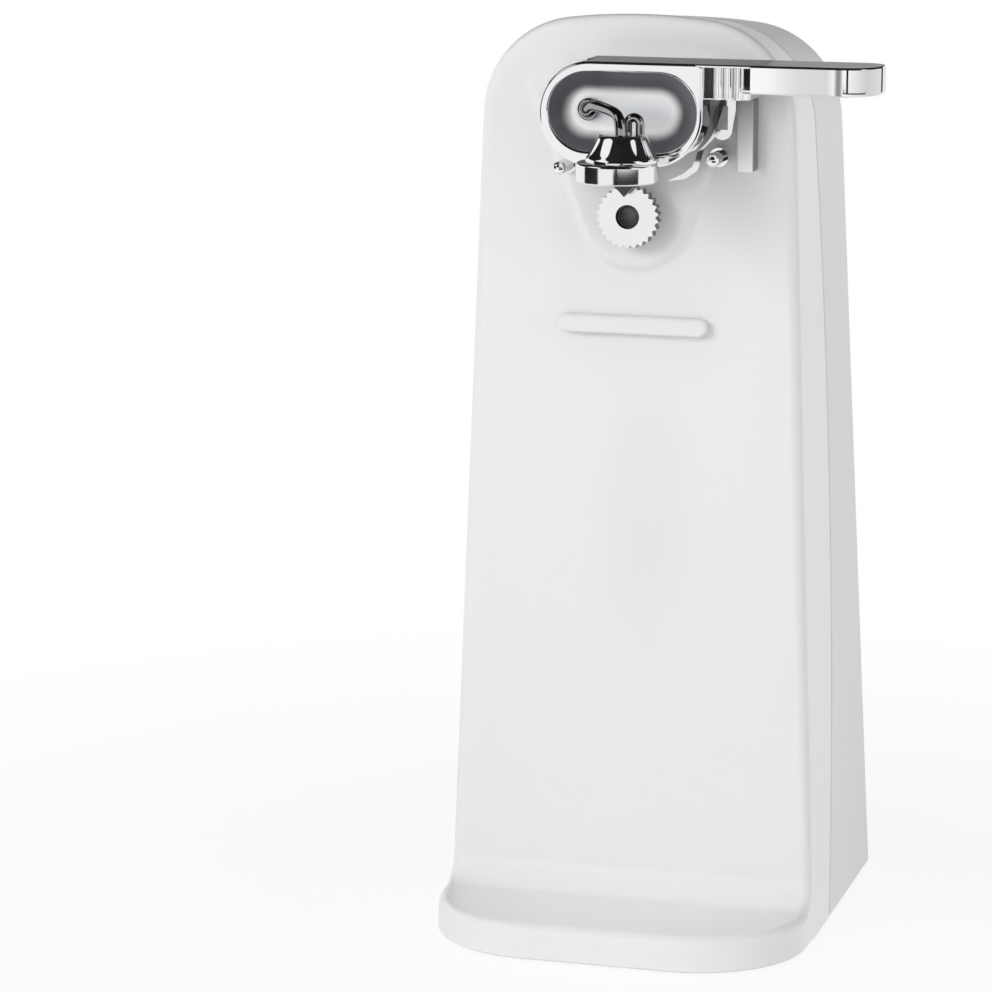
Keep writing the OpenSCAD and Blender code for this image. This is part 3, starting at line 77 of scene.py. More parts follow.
DISH_LEFT_RIM, DISH_RIGHT_RIM, DISH_RISE = 2.4, 1.5, 0.6
MAGNET_X, MAGNET_Y, CUP_R, CUP_Z, CUP_H = 3.5, -33.0, 10.25, 202.4, 5.0
CONE_X, CONE_BASE_R, CONE_TOP_R, CONE_H = 4.9, 9.2, 5.8, 6.8
ARM_R, ARM_X, ARM_Y = 1.4, 4.8, MAGNET_Y - 1.5
HOOP_R, HOOP_X, HOOP_Y, HOOP_HALF, HOOP_RISE = 1.1, 7.5, MAGNET_Y + 1.3, 1.55, 2.6
EYELET_R, EYELET_FRONT, EYELET_BACK = 2.9, -18.4, -15.9
BUTTON_H, FLANGE_SIDE, FLANGE_T, FLANGE_END, LOOSE = 18.7, 1.2, 1.5, 2.2, 0.3
STEM_W, STEM_H, STEM_DROP = 3.2, 3.5, 4.0
PLATE_Z = LEVER_TOP - PLATE_R
LEFT_C, RIGHT_C = PLATE_L + PLATE_R, PLATE_RIGHT - PLATE_R
DISH_LC, DISH_RC = PLATE_L + DISH_LEFT_RIM + DISH_R, PLATE_RIGHT - DISH_RIGHT_RIM - DISH_R
DISH_Z = PLATE_Z + DISH_RISE

# Roundings, slopes and gaps that the solids leave out or give in another size
FRONT_EDGE_R, FOOT_EDGE_R, FOOT_FILLET_R, SEAM_GAP = 2.8, 2.4, 7.0, 0.8
PAD_SLOPE, PAD_RIM_SLOPE, PAD_CROWN_FALL = 3.2, 8.0, 0.09
LEVER_EDGE_R, LEVER_LIP_R, LEVER_RIM = 0.7, 0.5, 2.2
HANDLE_TOP_R, HANDLE_LOW_R = 0.6, 1.2
NOSE_HOLLOW = 1.3
AXIS_R = 0.05    # radius at which a turned profile ends beside its axis


def place(p):
    return MIDDLE + Vector(p) * MM


def from_middle(v):
    return (v - MIDDLE) * 1000


def in_scene(name, data):
    obj = bpy.data.objects.new(name, data)
    bpy.context.scene.collection.objects.link(obj)
    return obj


# ---- Mesh making ------------------------------------------------------------

WELD = 0.00001    # metres; points closer than this are one


def finish_mesh(bm, name, body, node, slot, sharp=35.0, own=None):
    """Piece made from a mesh; sharp in degrees, own is its material where the slot's isn't right."""
    bmesh.ops.remove_doubles(bm, verts=bm.verts, dist=WELD)
    bmesh.ops.dissolve_degenerate(bm, edges=bm.edges, dist=WELD)
    bmesh.ops.recalc_face_normals(bm, faces=bm.faces)
    for f in bm.faces:
        f.smooth = True
    limit = math.radians(sharp)
    for e in bm.edges:
        e.smooth = len(e.link_faces) == 2 and e.calc_face_angle(0.0) < limit
    mesh = bpy.data.meshes.new(name)
    bm.to_mesh(mesh)
    bm.free()
    piece = in_scene(name, mesh)
    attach(piece, body)
    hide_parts(node)
    piece.data.materials.append(own or MATERIALS[slot])
    flat = piece.modifiers.new("flat_faces", "WEIGHTED_NORMAL")
    flat.keep_sharp = True
    return piece


def arc(n, span=math.pi / 2):
    """Angles from 0 to span in n steps."""
    return [span * k / n for k in range(n + 1)]


def circle(x, y, r, n):
    return [(x + r * math.cos(2 * math.pi * i / n), y + r * math.sin(2 * math.pi * i / n)) for i in range(n)]


def add_loft(bm, rows, closed=False, cap_first=False, cap_last=False, ring=False):
    """Faces between rows of points; closed joins each row's ends, ring joins the last row to the first."""
    grid = [[bm.verts.new(place(p)) for p in row] for row in rows]
    count = len(rows[0])
    pairs = list(zip(grid, grid[1:])) + ([(grid[-1], grid[0])] if ring else [])
    for a, b in pairs:
        for i in range(count if closed else count - 1):
            j = (i + 1) % count
            bm.faces.new((a[i], a[j], b[j], b[i]))
    if cap_first:
        bm.faces.new(list(reversed(grid[0])))
    if cap_last:
        bm.faces.new(grid[-1])
    return grid


def turned(bm, profile, x, y, n=64):
    """Turned form about a vertical axis; profile is a list of (radius, height) from axis to axis."""
    rows = [[(px, py, z) for px, py in circle(x, y, r, n)] for r, z in profile]
    add_loft(bm, rows, closed=True, cap_first=True, cap_last=True)


def turned_y(bm, profile, x, z, n=48, ring=False):
    """Turned form about an axis along Y; profile is a list of (radius, y), a closed one for a ring."""
    rows = [[(px, y, pz) for px, pz in circle(x, z, r, n)] for r, y in profile]
    add_loft(bm, rows, closed=True, cap_first=not ring, cap_last=not ring, ring=ring)


def bend(points, steps):
    """Line through points with every corner rounded between the middles of its sides."""
    p = [Vector(q) for q in points]
    line = [p[0]]
    for i in range(1, len(p) - 1):
        a, c = (p[i - 1] + p[i]) / 2, (p[i] + p[i + 1]) / 2
        for k in range(steps):
            t = k / steps
            line.append((1 - t) ** 2 * a + 2 * t * (1 - t) * p[i] + t * t * c)
    return line + [(p[-2] + p[-1]) / 2, p[-1]]


def add_wire(bm, line, r, sides=24):
    """Round wire along a line of points, its rings carried along without twist."""
    line = [Vector(q) for q in line]
    n = len(line)
    tangents = [(line[min(i + 1, n - 1)] - line[max(i - 1, 0)]).normalized() for i in range(n)]
    side = tangents[0].orthogonal().normalized()
    rows = []
    for i in range(n):
        t = tangents[i]
        side = (side - t * side.dot(t)).normalized()
        other = t.cross(side)
        rows.append([line[i] + r * (math.cos(2 * math.pi * k / sides) * side
                                    + math.sin(2 * math.pi * k / sides) * other) for k in range(sides)])
    add_loft(bm, rows, closed=True, cap_first=True, cap_last=True)


def rounded_block(bm, low, high, r, steps=4):
    """Box with all its edges rounded."""
    rise = [r * (1 - math.cos(a)) for a in arc(steps)]
    axes = [[low[i] + a for a in rise] + [high[i] - a for a in reversed(rise)] for i in range(3)]
    n = 2 * steps + 2

    def point(ijk):
        q = Vector([axis[i] for axis, i in zip(axes, ijk)])
        core = Vector([min(max(q[m], low[m] + r), high[m] - r) for m in range(3)])
        d = q - core
        return core + (d.normalized() * r if d.length > 1e-9 else d)

    for fixed in range(3):
        for end in (0, n - 1):
            rows = []
            for a in range(n):
                row = []
                for b in range(n):
                    ijk = [a, b]
                    ijk.insert(fixed, end)
                    row.append(point(ijk))
                rows.append(row)
            add_loft(bm, rows)


# ---- Materials --------------------------------------------------------------

def shader(tree, kind, sockets=None, **settings):
    """New shader node; sockets gives its inputs by name, each as a value or as the output it is linked to."""
    made = tree.nodes.new("ShaderNode" + kind)
    for name, value in settings.items():
        setattr(made, name, value)
    for name, value in (sockets or {}).items():
        if isinstance(value, bpy.types.NodeSocket):
            tree.links.new(value, made.inputs[name])
        else:
            made.inputs[name].default_value = value
    return made


def shader_of(m):
    return m.node_tree.nodes["Principled BSDF"]


def new_material(name):
    m = bpy.data.materials.new(name)
    m.use_nodes = True
    return m, m.node_tree, shader_of(m)


def on_object(tree, kind="Object"):
    """The X, Y and Z outputs of the place on the object, or of the way that the surface faces."""
    spot = shader(tree, "TexCoord").outputs[kind]
    return shader(tree, "SeparateXYZ", {"Vector": spot}).outputs


def measure(tree, value, start, end):
    """A value as 0 at start to 1 at end."""
    return shader(tree, "MapRange", {"Value": value, "From Min": start, "From Max": end}).outputs["Result"]


def ramp(tree, value, stops, interpolation="LINEAR"):
    """Colour that goes with a value; stops is a list of (value, colour)."""
    made = shader(tree, "ValToRGB", {"Fac": value})
    made.color_ramp.interpolation = interpolation
    while len(made.color_ramp.elements) < len(stops):
        made.color_ramp.elements.new(0.5)
    for element, (at, tone) in zip(made.color_ramp.elements, stops):
        element.position = at
        element.color = (*tone, 1)
    return made.outputs["Color"]


def mixed(tree, share, a, b):
    """Colour between a and b, each a colour or the output that gives it."""
    return shader(tree, "Mix", {"Factor": share, "A": a, "B": b}, data_type="RGBA").outputs["Result"]


def recolor(m, color):
    """Takes the base colour from an output."""
    m.node_tree.links.new(color, shader_of(m).inputs["Base Color"])
    return m


COAT_ROUGHNESS, LEAST_ROUGHNESS, BUMP_DEPTH = 0.12, 0.02, 0.0001
CLOUD_DETAIL, CLOUD_DARK, CLOUD_LIGHT = 3.0, 0.3, 0.7


def material(name, color, metallic=0.0, roughness=0.5, coat=0.0, grain=0.0, grain_scale=900.0,
             vary=0.03, vary_scale=60.0, rough_vary=0.04, stretch=(1, 1, 1)):
    """Procedural finish: slight cloudy colour change, uneven gloss and a fine bump."""
    m, tree, bsdf = new_material(name)
    bsdf.inputs["Metallic"].default_value = metallic
    bsdf.inputs["Coat Weight"].default_value = coat
    bsdf.inputs["Coat Roughness"].default_value = COAT_ROUGHNESS
    spot = shader(tree, "TexCoord").outputs["Object"]
    spot = shader(tree, "Mapping", {"Vector": spot, "Scale": stretch}).outputs["Vector"]
    clouds = shader(tree, "TexNoise", {"Vector": spot, "Scale": vary_scale, "Detail": CLOUD_DETAIL})
    clouds = clouds.outputs["Fac"]
    dark, light = [tuple(min(1, c * (1 + change)) for c in color) for change in (-vary, vary)]
    recolor(m, ramp(tree, clouds, ((CLOUD_DARK, dark), (CLOUD_LIGHT, light))))
    gloss = shader(tree, "MapRange", {"Value": clouds, "To Min": max(LEAST_ROUGHNESS, roughness - rough_vary),
                                      "To Max": roughness + rough_vary})
    tree.links.new(gloss.outputs["Result"], bsdf.inputs["Roughness"])
    if grain:
        fine = shader(tree, "TexNoise", {"Vector": spot, "Scale": grain_scale}).outputs["Fac"]
        bump = shader(tree, "Bump", {"Height": fine, "Strength": grain, "Distance": BUMP_DEPTH})
        tree.links.new(bump.outputs["Normal"], bsdf.inputs["Normal"])
    return m


def distance_from_line(tree, left, right, z):
    """Distance in the front view, in metres, from the level line between left and right at height z."""
    spot = on_object(tree)
    start, end = place((left, 0, z)), place((right, 0, z))
    kept = spot["X"]
    for kind, limit in (("MAXIMUM", start.x), ("MINIMUM", end.x)):
        kept = shader(tree, "Math", {0: kept, 1: limit}, operation=kind).outputs["Value"]
    nearest = shader(tree, "CombineXYZ", {"X": kept, "Z": start.z}).outputs["Vector"]
    here = shader(tree, "CombineXYZ", {"X": spot["X"], "Z": spot["Z"]}).outputs["Vector"]
    return shader(tree, "VectorMath", {0: here, 1: nearest}, operation="DISTANCE").outputs["Value"]


# Painted reflection in the dish: pale floor, a painted highlight ring where it ends, a painted dark wall
DISH_REFLECTION_STOPS = ((0.0, (0.90, 0.92, 0.95)), (0.30, (0.93, 0.95, 0.97)), (0.42, (1.0, 1.0, 1.0)),
              (0.72, (0.11, 0.115, 0.125)), (0.97, (0.13, 0.135, 0.15)))
DISH_REFLECTION_LC, DISH_REFLECTION_RC, DISH_REFLECTION_Z = DISH_LC - 0.6, DISH_RC - 1.2, DISH_Z - 0.6
# Painted reflection along the handle's front, with a painted dark line where its rounded end starts
HANDLE_REFLECTION_STOPS = ((0.0, 0.96), (0.2, 0.93), (0.42, 0.72), (0.64, 0.68), (0.69, 0.9), (0.713, 0.28),
                (0.735, 0.28), (0.76, 0.95), (0.92, 0.62), (1.0, 0.72))
# Painted shade on the switch bar: dark at its top under the handle, lit on its left and shaded on its right
BUTTON_SHADE_STOPS = ((0.0, (0.27, 0.27, 0.275)), (1.0, (0.95, 0.95, 0.96)))
BUTTON_LIT_AND_SHADED_SIDES = ((0.45, 0.9, 0.12), (-0.2, -0.6, 0.85))    # (facing from, facing to, tone)


def dish_painted_reflection_material():
    """Satin plate in the dish with a painted reflection: pale on its floor, a painted highlight where the
    floor ends and a painted dark reflection up its wall.
    """
    m = material("dish_painted_reflection", (0.6, 0.6, 0.6), metallic=0.25, roughness=0.4, rough_vary=0.03)
    tree = m.node_tree
    apart = distance_from_line(tree, DISH_REFLECTION_LC, DISH_REFLECTION_RC, DISH_REFLECTION_Z)
    return recolor(m, ramp(tree, measure(tree, apart, 0.0, DISH_R * MM), DISH_REFLECTION_STOPS, "EASE"))


def handle_painted_reflection_material():
    """Chrome with a painted reflection that greys along the handle, and a painted dark reflection line where
    its rounded end starts.
    """
    m = material("handle_painted_reflection", (0.84, 0.84, 0.85), metallic=1.0, roughness=0.06, vary=0.01,
                 rough_vary=0.015)
    tree = m.node_tree
    along = measure(tree, on_object(tree)["X"], place((HANDLE_L, 0, 0)).x, place((HANDLE_R, 0, 0)).x)
    return recolor(m, ramp(tree, along, [(at, (tone, tone, tone * 1.015)) for at, tone in HANDLE_REFLECTION_STOPS]))


def button_painted_shade_material(low, high):
    """Grey plastic with painted shade: dark at its upper end under the handle and paling towards its lower
    end, with painted shade on its right side and a painted highlight on its left.
    """
    m = material("button_painted_shade", (0.5, 0.5, 0.5), roughness=0.24, coat=0.2, grain=0.05, vary=0.01)
    tree = m.node_tree
    depth = measure(tree, on_object(tree)["Z"], place((0, 0, high)).z, place((0, 0, low)).z)
    color = ramp(tree, depth, BUTTON_SHADE_STOPS)
    sideways = on_object(tree, "Normal")["X"]
    for start, end, tone in BUTTON_LIT_AND_SHADED_SIDES:
        color = mixed(tree, measure(tree, sideways, start, end), color, (tone, tone, tone, 1))
    return recolor(m, color)


def paint_flank_shade(m, flank):
    """Paints shade on the faces of a turned or toothed piece that don't look along its axis."""
    tree = m.node_tree
    base = shader_of(m).inputs["Base Color"].links[0].from_socket
    facing = shader(tree, "Math", {0: on_object(tree, "Normal")["Y"]}, operation="ABSOLUTE").outputs["Value"]
    return recolor(m, mixed(tree, facing, (flank, flank, flank, 1), base))


MATERIALS = {
    "housing": material("housing_plastic", (0.80, 0.79, 0.80), roughness=0.30, coat=0.15, grain=0.05,
                        grain_scale=1400, vary=0.006, vary_scale=14, rough_vary=0.03),
    "base": material("base_plastic", (0.62, 0.62, 0.60), roughness=0.55, grain=0.3),
    "rubber": material("foot_rubber", (0.03, 0.03, 0.03), roughness=0.8, grain=0.4, vary=0.12),
    "chrome": material("chrome_plate", (0.86, 0.86, 0.87), metallic=1.0, roughness=0.06, vary=0.01,
                       rough_vary=0.015, grain=0.01, grain_scale=300),
    "bright_steel": material("bright_steel", (0.88, 0.88, 0.89), metallic=1.0, roughness=0.22, grain=0.10,
                             grain_scale=500, stretch=(1, 6, 1)),
    "spring_steel": material("spring_steel", (0.46, 0.47, 0.49), metallic=1.0, roughness=0.32, grain=0.15),
    "screw_steel": material("screw_steel", (0.60, 0.60, 0.57), metallic=1.0, roughness=0.34, grain=0.15),
    "zinc_plate": material("zinc_plate", (0.55, 0.57, 0.60), metallic=1.0, roughness=0.42, vary=0.1,
                           grain=0.2),
    "laminations": material("laminations", (0.20, 0.21, 0.23), metallic=0.9, roughness=0.5, grain=0.6,
                            grain_scale=300, stretch=(0.05, 8, 0.05)),
    "cast_aluminium": material("cast_aluminium", (0.60, 0.61, 0.62), metallic=1.0, roughness=0.5, grain=0.5),
    "bearing_bronze": material("bearing_bronze", (0.55, 0.38, 0.20), metallic=1.0, roughness=0.45, grain=0.3),
    "contact_brass": material("contact_brass", (0.74, 0.55, 0.25), metallic=1.0, roughness=0.3, grain=0.1),
    "magnet": material("magnet_ferrite", (0.05, 0.05, 0.055), roughness=0.6, grain=0.5),
    "button": material("button_plastic", (0.52, 0.52, 0.525), roughness=0.25, coat=0.3, grain=0.05,
                       vary=0.01),
    "gear_nylon": material("gear_nylon", (0.78, 0.73, 0.60), roughness=0.45, grain=0.2),
    "bobbin_nylon": material("bobbin_nylon", (0.80, 0.80, 0.77), roughness=0.45, grain=0.2),
    "coil_copper": material("coil_copper", (0.42, 0.15, 0.05), metallic=0.8, roughness=0.35, grain=0.9,
                            grain_scale=260, stretch=(6, 0.1, 0.1)),
    "switch_case": material("switch_case", (0.02, 0.02, 0.022), roughness=0.5, grain=0.3),
    "plunger": material("plunger_plastic", (0.42, 0.03, 0.02), roughness=0.4, grain=0.1),
    "lead_cover": material("lead_cover", (0.015, 0.015, 0.015), roughness=0.45, grain=0.1),
}
DARK_STEEL = material("blued_steel", (0.075, 0.07, 0.075), metallic=1.0, roughness=0.3, grain=0.1)
CUP_CHROME = material("cup_chrome", (0.84, 0.84, 0.85), metallic=1.0, roughness=0.11, vary=0.01,
                      rough_vary=0.015)
GUIDE_STEEL = material("guide_steel", (0.80, 0.80, 0.81), metallic=1.0, roughness=0.08, grain=0.05)
# Dark steel for the feed shaft: painted shade in the wheel's centre hole
SHAFT_STEEL_PAINTED_SHADE = material("shaft_steel_painted_shade", (0.13, 0.13, 0.135), metallic=0.6, roughness=0.4, grain=0.1)
# Darker chrome for the lever's top faces: a painted dark reflection
LEVER_TOP_PAINTED_REFLECTION = material("lever_top_painted_reflection", (0.30, 0.30, 0.31), metallic=1.0, roughness=0.18, vary=0.02)
shader_of(LEVER_TOP_PAINTED_REFLECTION).inputs["Specular Tint"].default_value = (0.35, 0.35, 0.36, 1)
# Darker copy of the housing plastic for the rear shell: painted shade
REAR_SHADED_PLASTIC = material("rear_housing_painted_shade", (0.70, 0.70, 0.705), roughness=0.34, coat=0.1, grain=0.05,
                        grain_scale=1400, vary=0.006, vary_scale=14, rough_vary=0.03)
# Darkened chrome for the magnet's arm, hoop and eyelet: painted dark reflection that leaves thin highlights
CHROME_PAINTED_DARK = material("chrome_painted_dark_reflection", (0.34, 0.34, 0.35), metallic=1.0, roughness=0.08, vary=0.01,
                       rough_vary=0.02)
# Feed wheel steel with painted shade on its tooth flanks
WHEEL_STEEL_FLANK_SHADE = paint_flank_shade(material("wheel_steel_painted_flank_shade", (0.88, 0.88, 0.89), metallic=1.0, roughness=0.22,
                                   grain=0.10, grain_scale=500), 0.2)
OWN_FINISH = {"cutter_blade": DARK_STEEL, "feed_wheel": WHEEL_STEEL_FLANK_SHADE, "guide_plate": GUIDE_STEEL,
              "left_locating_pin": MATERIALS["chrome"], "right_locating_pin": MATERIALS["chrome"]}
for part in frame["record"]["subparts"]:
    cad = NODES[part["node"]]
    cad.data.materials.clear()
    cad.data.materials.append(OWN_FINISH.get(part["node"], MATERIALS[part["material_slot"]]))


# ---- Housing ----------------------------------------------------------------

FINE_Z = 166.0    # the outline's steps are fine above this height
COARSE, FINE, CORNER_STEPS, CROWN_STEPS = 26, 62, 44, 36
FACE_STEPS, EDGE_STEPS, SIDE_STEPS, SEAM_SEARCH = 64, 8, 8, 40
REAR_SIDE_STEPS, REAR_EDGE_STEPS = 12, 10
# Rounding into the parting gap, as (inset, distance from the shell's end)
SEAM_ROUND = ((0.0, 0.5), (0.05, 0.28), (0.15, 0.12), (0.3, 0.02), (0.5, 0.0), (WALL, 0.0))


def corner_centre(half, top):
    """Centre (x, z) of the arc that joins the leaning side to the crown."""
    t = math.tan(SIDE_LEAN)
    z0 = top - CROWN_R
    a = half - t * z0 - CORNER_R / math.cos(SIDE_LEAN)
    q = 1 + t * t
    u = (a * t + math.sqrt(a * a * t * t - q * (a * a - (CROWN_R - CORNER_R) ** 2))) / q
    return a - t * u, z0 + u


FACE_CX, FACE_CZ = corner_centre(HALF_W, TOP_FRONT)


def outline(half, top, inset):
    """Front-view outline from the lower left over the top to the lower right, as (x, z)."""
    cx, cz = corner_centre(half, top)
    z0 = top - CROWN_R
    join = math.atan2(cz - z0, cx)
    r = CORNER_R - inset
    side_top = cz + r * math.sin(SIDE_LEAN)
    split = (FINE_Z - RIM_Z) / (side_top - RIM_Z)
    parts = [split * k / COARSE for k in range(COARSE)]
    parts += [split + (1 - split) * k / FINE for k in range(FINE)]
    left = []
    for f in parts:
        z = RIM_Z + f * (side_top - RIM_Z)
        left.append((-(half - inset / math.cos(SIDE_LEAN) - math.tan(SIDE_LEAN) * z), z))
    for k in range(CORNER_STEPS):
        a = SIDE_LEAN + (join - SIDE_LEAN) * k / CORNER_STEPS
        left.append((-(cx + r * math.cos(a)), cz + r * math.sin(a)))
    crown = []
    for k in range(CROWN_STEPS + 1):
        a = math.pi - join + (2 * join - math.pi) * k / CROWN_STEPS
        crown.append(((CROWN_R - inset) * math.cos(a), z0 + (CROWN_R - inset) * math.sin(a)))
    return left + crown + [(-x, z) for x, z in reversed(left)]


def seam_at(z):
    """Depth of the bowed parting line at a height."""
    return SEAM_Y - SEAM_R + math.sqrt(SEAM_R ** 2 - (z - SEAM_Z) ** 2)


def rear_y(z):
    return DEPTH - math.tan(REAR_LEAN) * z


class Sides:
    """The housing's side surface between its front and rear edges, at any inset."""

    def __init__(self):
        self.cache = {}

    def pair(self, inset):
        if inset not in self.cache:
            front = [(x, FRONT_EDGE_R, z) for x, z in outline(HALF_W, TOP_FRONT, inset)]
            rear = [(x, DEPTH - REAR_EDGE_R - math.tan(REAR_LEAN) * z, z)
                    for x, z in outline(REAR_HALF_W, TOP_REAR, inset)]
            self.cache[inset] = (front, rear)
        return self.cache[inset]

    def at(self, i, t, inset):
        front, rear = self.pair(inset)
        return Vector(front[i]).lerp(Vector(rear[i]), t)

    def seam_t(self, i, shift):
        """Share of the way back at which the outline's point i meets the parting line."""
        near, far = 0.0, 1.0
        for _ in range(SEAM_SEARCH):
            mid = (near + far) / 2
            p = self.at(i, mid, 0.0)
            if p.y < seam_at(p.z) + shift:
                near = mid
            else:
                far = mid
        return near

    def count(self):
        return len(self.pair(0.0)[0])

    def length(self, i):
        front, rear = self.pair(0.0)
        return (Vector(rear[i]) - Vector(front[i])).length


SIDES = Sides()


def pad_distance(x, z):
    """Signed distance inside the pad's outline: round low end, leaning sides that flare into the plateau."""
    ax = abs(x)
    # low end and leaning side
    dz = z - FEED_Z
    out_x, out_z = math.cos(PAD_LEAN), -math.sin(PAD_LEAN)
    if dz < ax * out_z / out_x:
        wedge = PAD_R - math.hypot(ax, dz)
    else:
        wedge = PAD_R - (ax * out_x + dz * out_z)
    # plateau inside the face's edge
    r = CORNER_R - PAD_MARGIN
    if z <= FACE_CZ:
        side = FACE_CX + r * math.cos(SIDE_LEAN) - math.tan(SIDE_LEAN) * (z - FACE_CZ) - ax
    elif ax > FACE_CX:
        side = r - math.hypot(ax - FACE_CX, z - FACE_CZ)
    else:
        side = FACE_CZ + r + (FACE_CX - ax) * PAD_CROWN_FALL - z
    return min(wedge / PAD_SLOPE, side / PAD_RIM_SLOPE)


def smoother(t):
    """Step from 0 to 1 that starts and ends without a kink."""
    t = min(max(t, 0.0), 1.0)
    return t * t * t * (t * (6 * t - 15) + 10)


def pad_height(x, z):
    if z < FEED_Z - PAD_R - PAD_SLOPE:
        return 0.0
    return PAD_T * smoother(pad_distance(x, z))


def front_shell():
    """Face with its raised pad, rounded edge and sides back to the parting line, with foot and rest bar."""
    bm = bmesh.new()
    face = outline(HALF_W, TOP_FRONT, FRONT_EDGE_R)
    n = len(face)
    rows = []
    for k in range(FACE_STEPS + 1):
        s = k / FACE_STEPS
        row = []
        for x, z in face:
            # each spoke starts on the middle line, at its own height up to the corners' centres
            c = min(z, FACE_CZ)
            px, pz = x * s, c + (z - c) * s
            row.append((px, -pad_height(px, pz), pz))
        rows.append(row)
    for a in arc(EDGE_STEPS)[1:]:
        edge = outline(HALF_W, TOP_FRONT, FRONT_EDGE_R * (1 - math.sin(a)))
        rows.append([(x, FRONT_EDGE_R * (1 - math.cos(a)), z) for x, z in edge])
    ends = [SIDES.seam_t(i, 0.0) for i in range(n)]
    first_back = SEAM_ROUND[0][1]
    for k in range(1, SIDE_STEPS + 1):
        rows.append([SIDES.at(i, (ends[i] - first_back / SIDES.length(i)) * k / SIDE_STEPS, 0.0)
                     for i in range(n)])
    for inset, back in SEAM_ROUND[1:]:
        rows.append([SIDES.at(i, ends[i] - back / SIDES.length(i), inset) for i in range(n)])
    add_loft(bm, rows)
    add_foot(bm)
    add_rest_bar(bm)
    finish_mesh(bm, "front_shell", "housing", "front_housing", "housing", sharp=50)


FOOT_CORNER_STEPS, FOOT_EDGE_STEPS, FILLET_STEPS, FILLET_END_STEPS = 20, 10, 16, 8
FOOT_RIM_R = 0.4
FOOT_TOP_INSETS = (12.0, 26.0)


def foot_outline(inset, z):
    """Outline of the foot from above at a height, from the left over the front to the right."""
    half = HALF_W - math.tan(SIDE_LEAN) * z
    r = FOOT_R - inset
    x = half - FOOT_R
    y = FOOT_R - FOOT_REACH
    left = [(-half + inset, FRONT_EDGE_R)]
    left += [(-x + r * math.cos(a), y + r * math.sin(a))
             for a in [math.pi + b for b in arc(FOOT_CORNER_STEPS)]]
    return [(px, py, z) for px, py in left + [(-px, py) for px, py in reversed(left)]]


def add_foot(bm):
    low = FOOT_H - FOOT_EDGE_R
    rows = [foot_outline(WALL, RIM_Z), foot_outline(FOOT_RIM_R, RIM_Z), foot_outline(0.0, RIM_Z + FOOT_RIM_R)]
    rows += [foot_outline(FOOT_EDGE_R * (1 - math.cos(a)), low + FOOT_EDGE_R * math.sin(a))
             for a in arc(FOOT_EDGE_STEPS)]
    rows += [foot_outline(inset, FOOT_H) for inset in FOOT_TOP_INSETS]
    add_loft(bm, rows, cap_last=True)
    # hollow corner up to the face; its ends round over from the foot's edge to the face's edge
    ends = arc(FILLET_END_STEPS)
    strip = []
    for side, a in [(-1, a) for a in reversed(ends)] + [(1, a) for a in ends]:
        row = []
        for k, b in enumerate(arc(FILLET_STEPS)):
            edge = FOOT_EDGE_R + (FRONT_EDGE_R - FOOT_EDGE_R) * k / FILLET_STEPS
            reach = FOOT_FILLET_R + edge * (1 - math.cos(a))
            z = FOOT_H + FOOT_FILLET_R - reach * math.cos(b)
            x = HALF_W - math.tan(SIDE_LEAN) * z - edge * (1 - math.sin(a))
            row.append((side * x, reach * math.sin(b) - FOOT_FILLET_R, z))
        x = HALF_W - math.tan(SIDE_LEAN) * low - FOOT_EDGE_R * (1 - math.sin(a))
        row.append((side * x, FRONT_EDGE_R, low))
        strip.append(row)
    add_loft(bm, strip, closed=True, cap_first=True, cap_last=True)


# Section of the rest bar's edge, as (inset, height over its flat front)
BAR_ROUND = ((0.0, 0.9), (0.06, 0.55), (0.26, 0.26), (0.55, 0.06))
BAR_FLAT = (0.9, 1.6)
BAR_ROOT, BAR_END_STEPS = 1.0, 16    # the bar starts this deep in the face


def add_rest_bar(bm):
    r = BAR_H / 2
    profile = [(0.0, BAR_ROOT)] + [(inset, -BAR_T + back) for inset, back in BAR_ROUND]
    profile += [(inset, -BAR_T) for inset in BAR_FLAT]
    rows = []
    for inset, y in profile:
        row = []
        for s in (1, -1):
            for b in arc(BAR_END_STEPS, math.pi):
                a = math.pi / 2 - b
                x = s * (BAR_LEN / 2 - r + (r - inset) * math.cos(a))
                row.append((x, y, BAR_Z + s * (r - inset) * math.sin(a)))
        rows.append(row)
    add_loft(bm, rows, closed=True, cap_last=True)


HOLE_POINTS = 32


def rear_holes():
    """Outlines in the rear face and how deep their walls run: vents, screw holes and the gland's hole."""
    holes = []
    low, high = VENT_Z - VENT_H / 2, VENT_Z + VENT_H / 2
    for i in range(-VENT_SIDE, VENT_SIDE + 1):
        left, right = i * VENT_PITCH - VENT_W / 2, i * VENT_PITCH + VENT_W / 2
        holes.append(([(left, low), (right, low), (right, high), (left, high)], WALL))
    rounds = [(s * x, z, SCREW_HOLE_R, rear_y(z) - SCREW_HEAD_Y) for x, z in SHELL_SCREWS for s in (-1, 1)]
    for x, z, r, depth in rounds + [(0.0, GLAND_Z, GLAND_R, WALL)]:
        holes.append((circle(x, z, r, HOLE_POINTS), depth))
    return holes


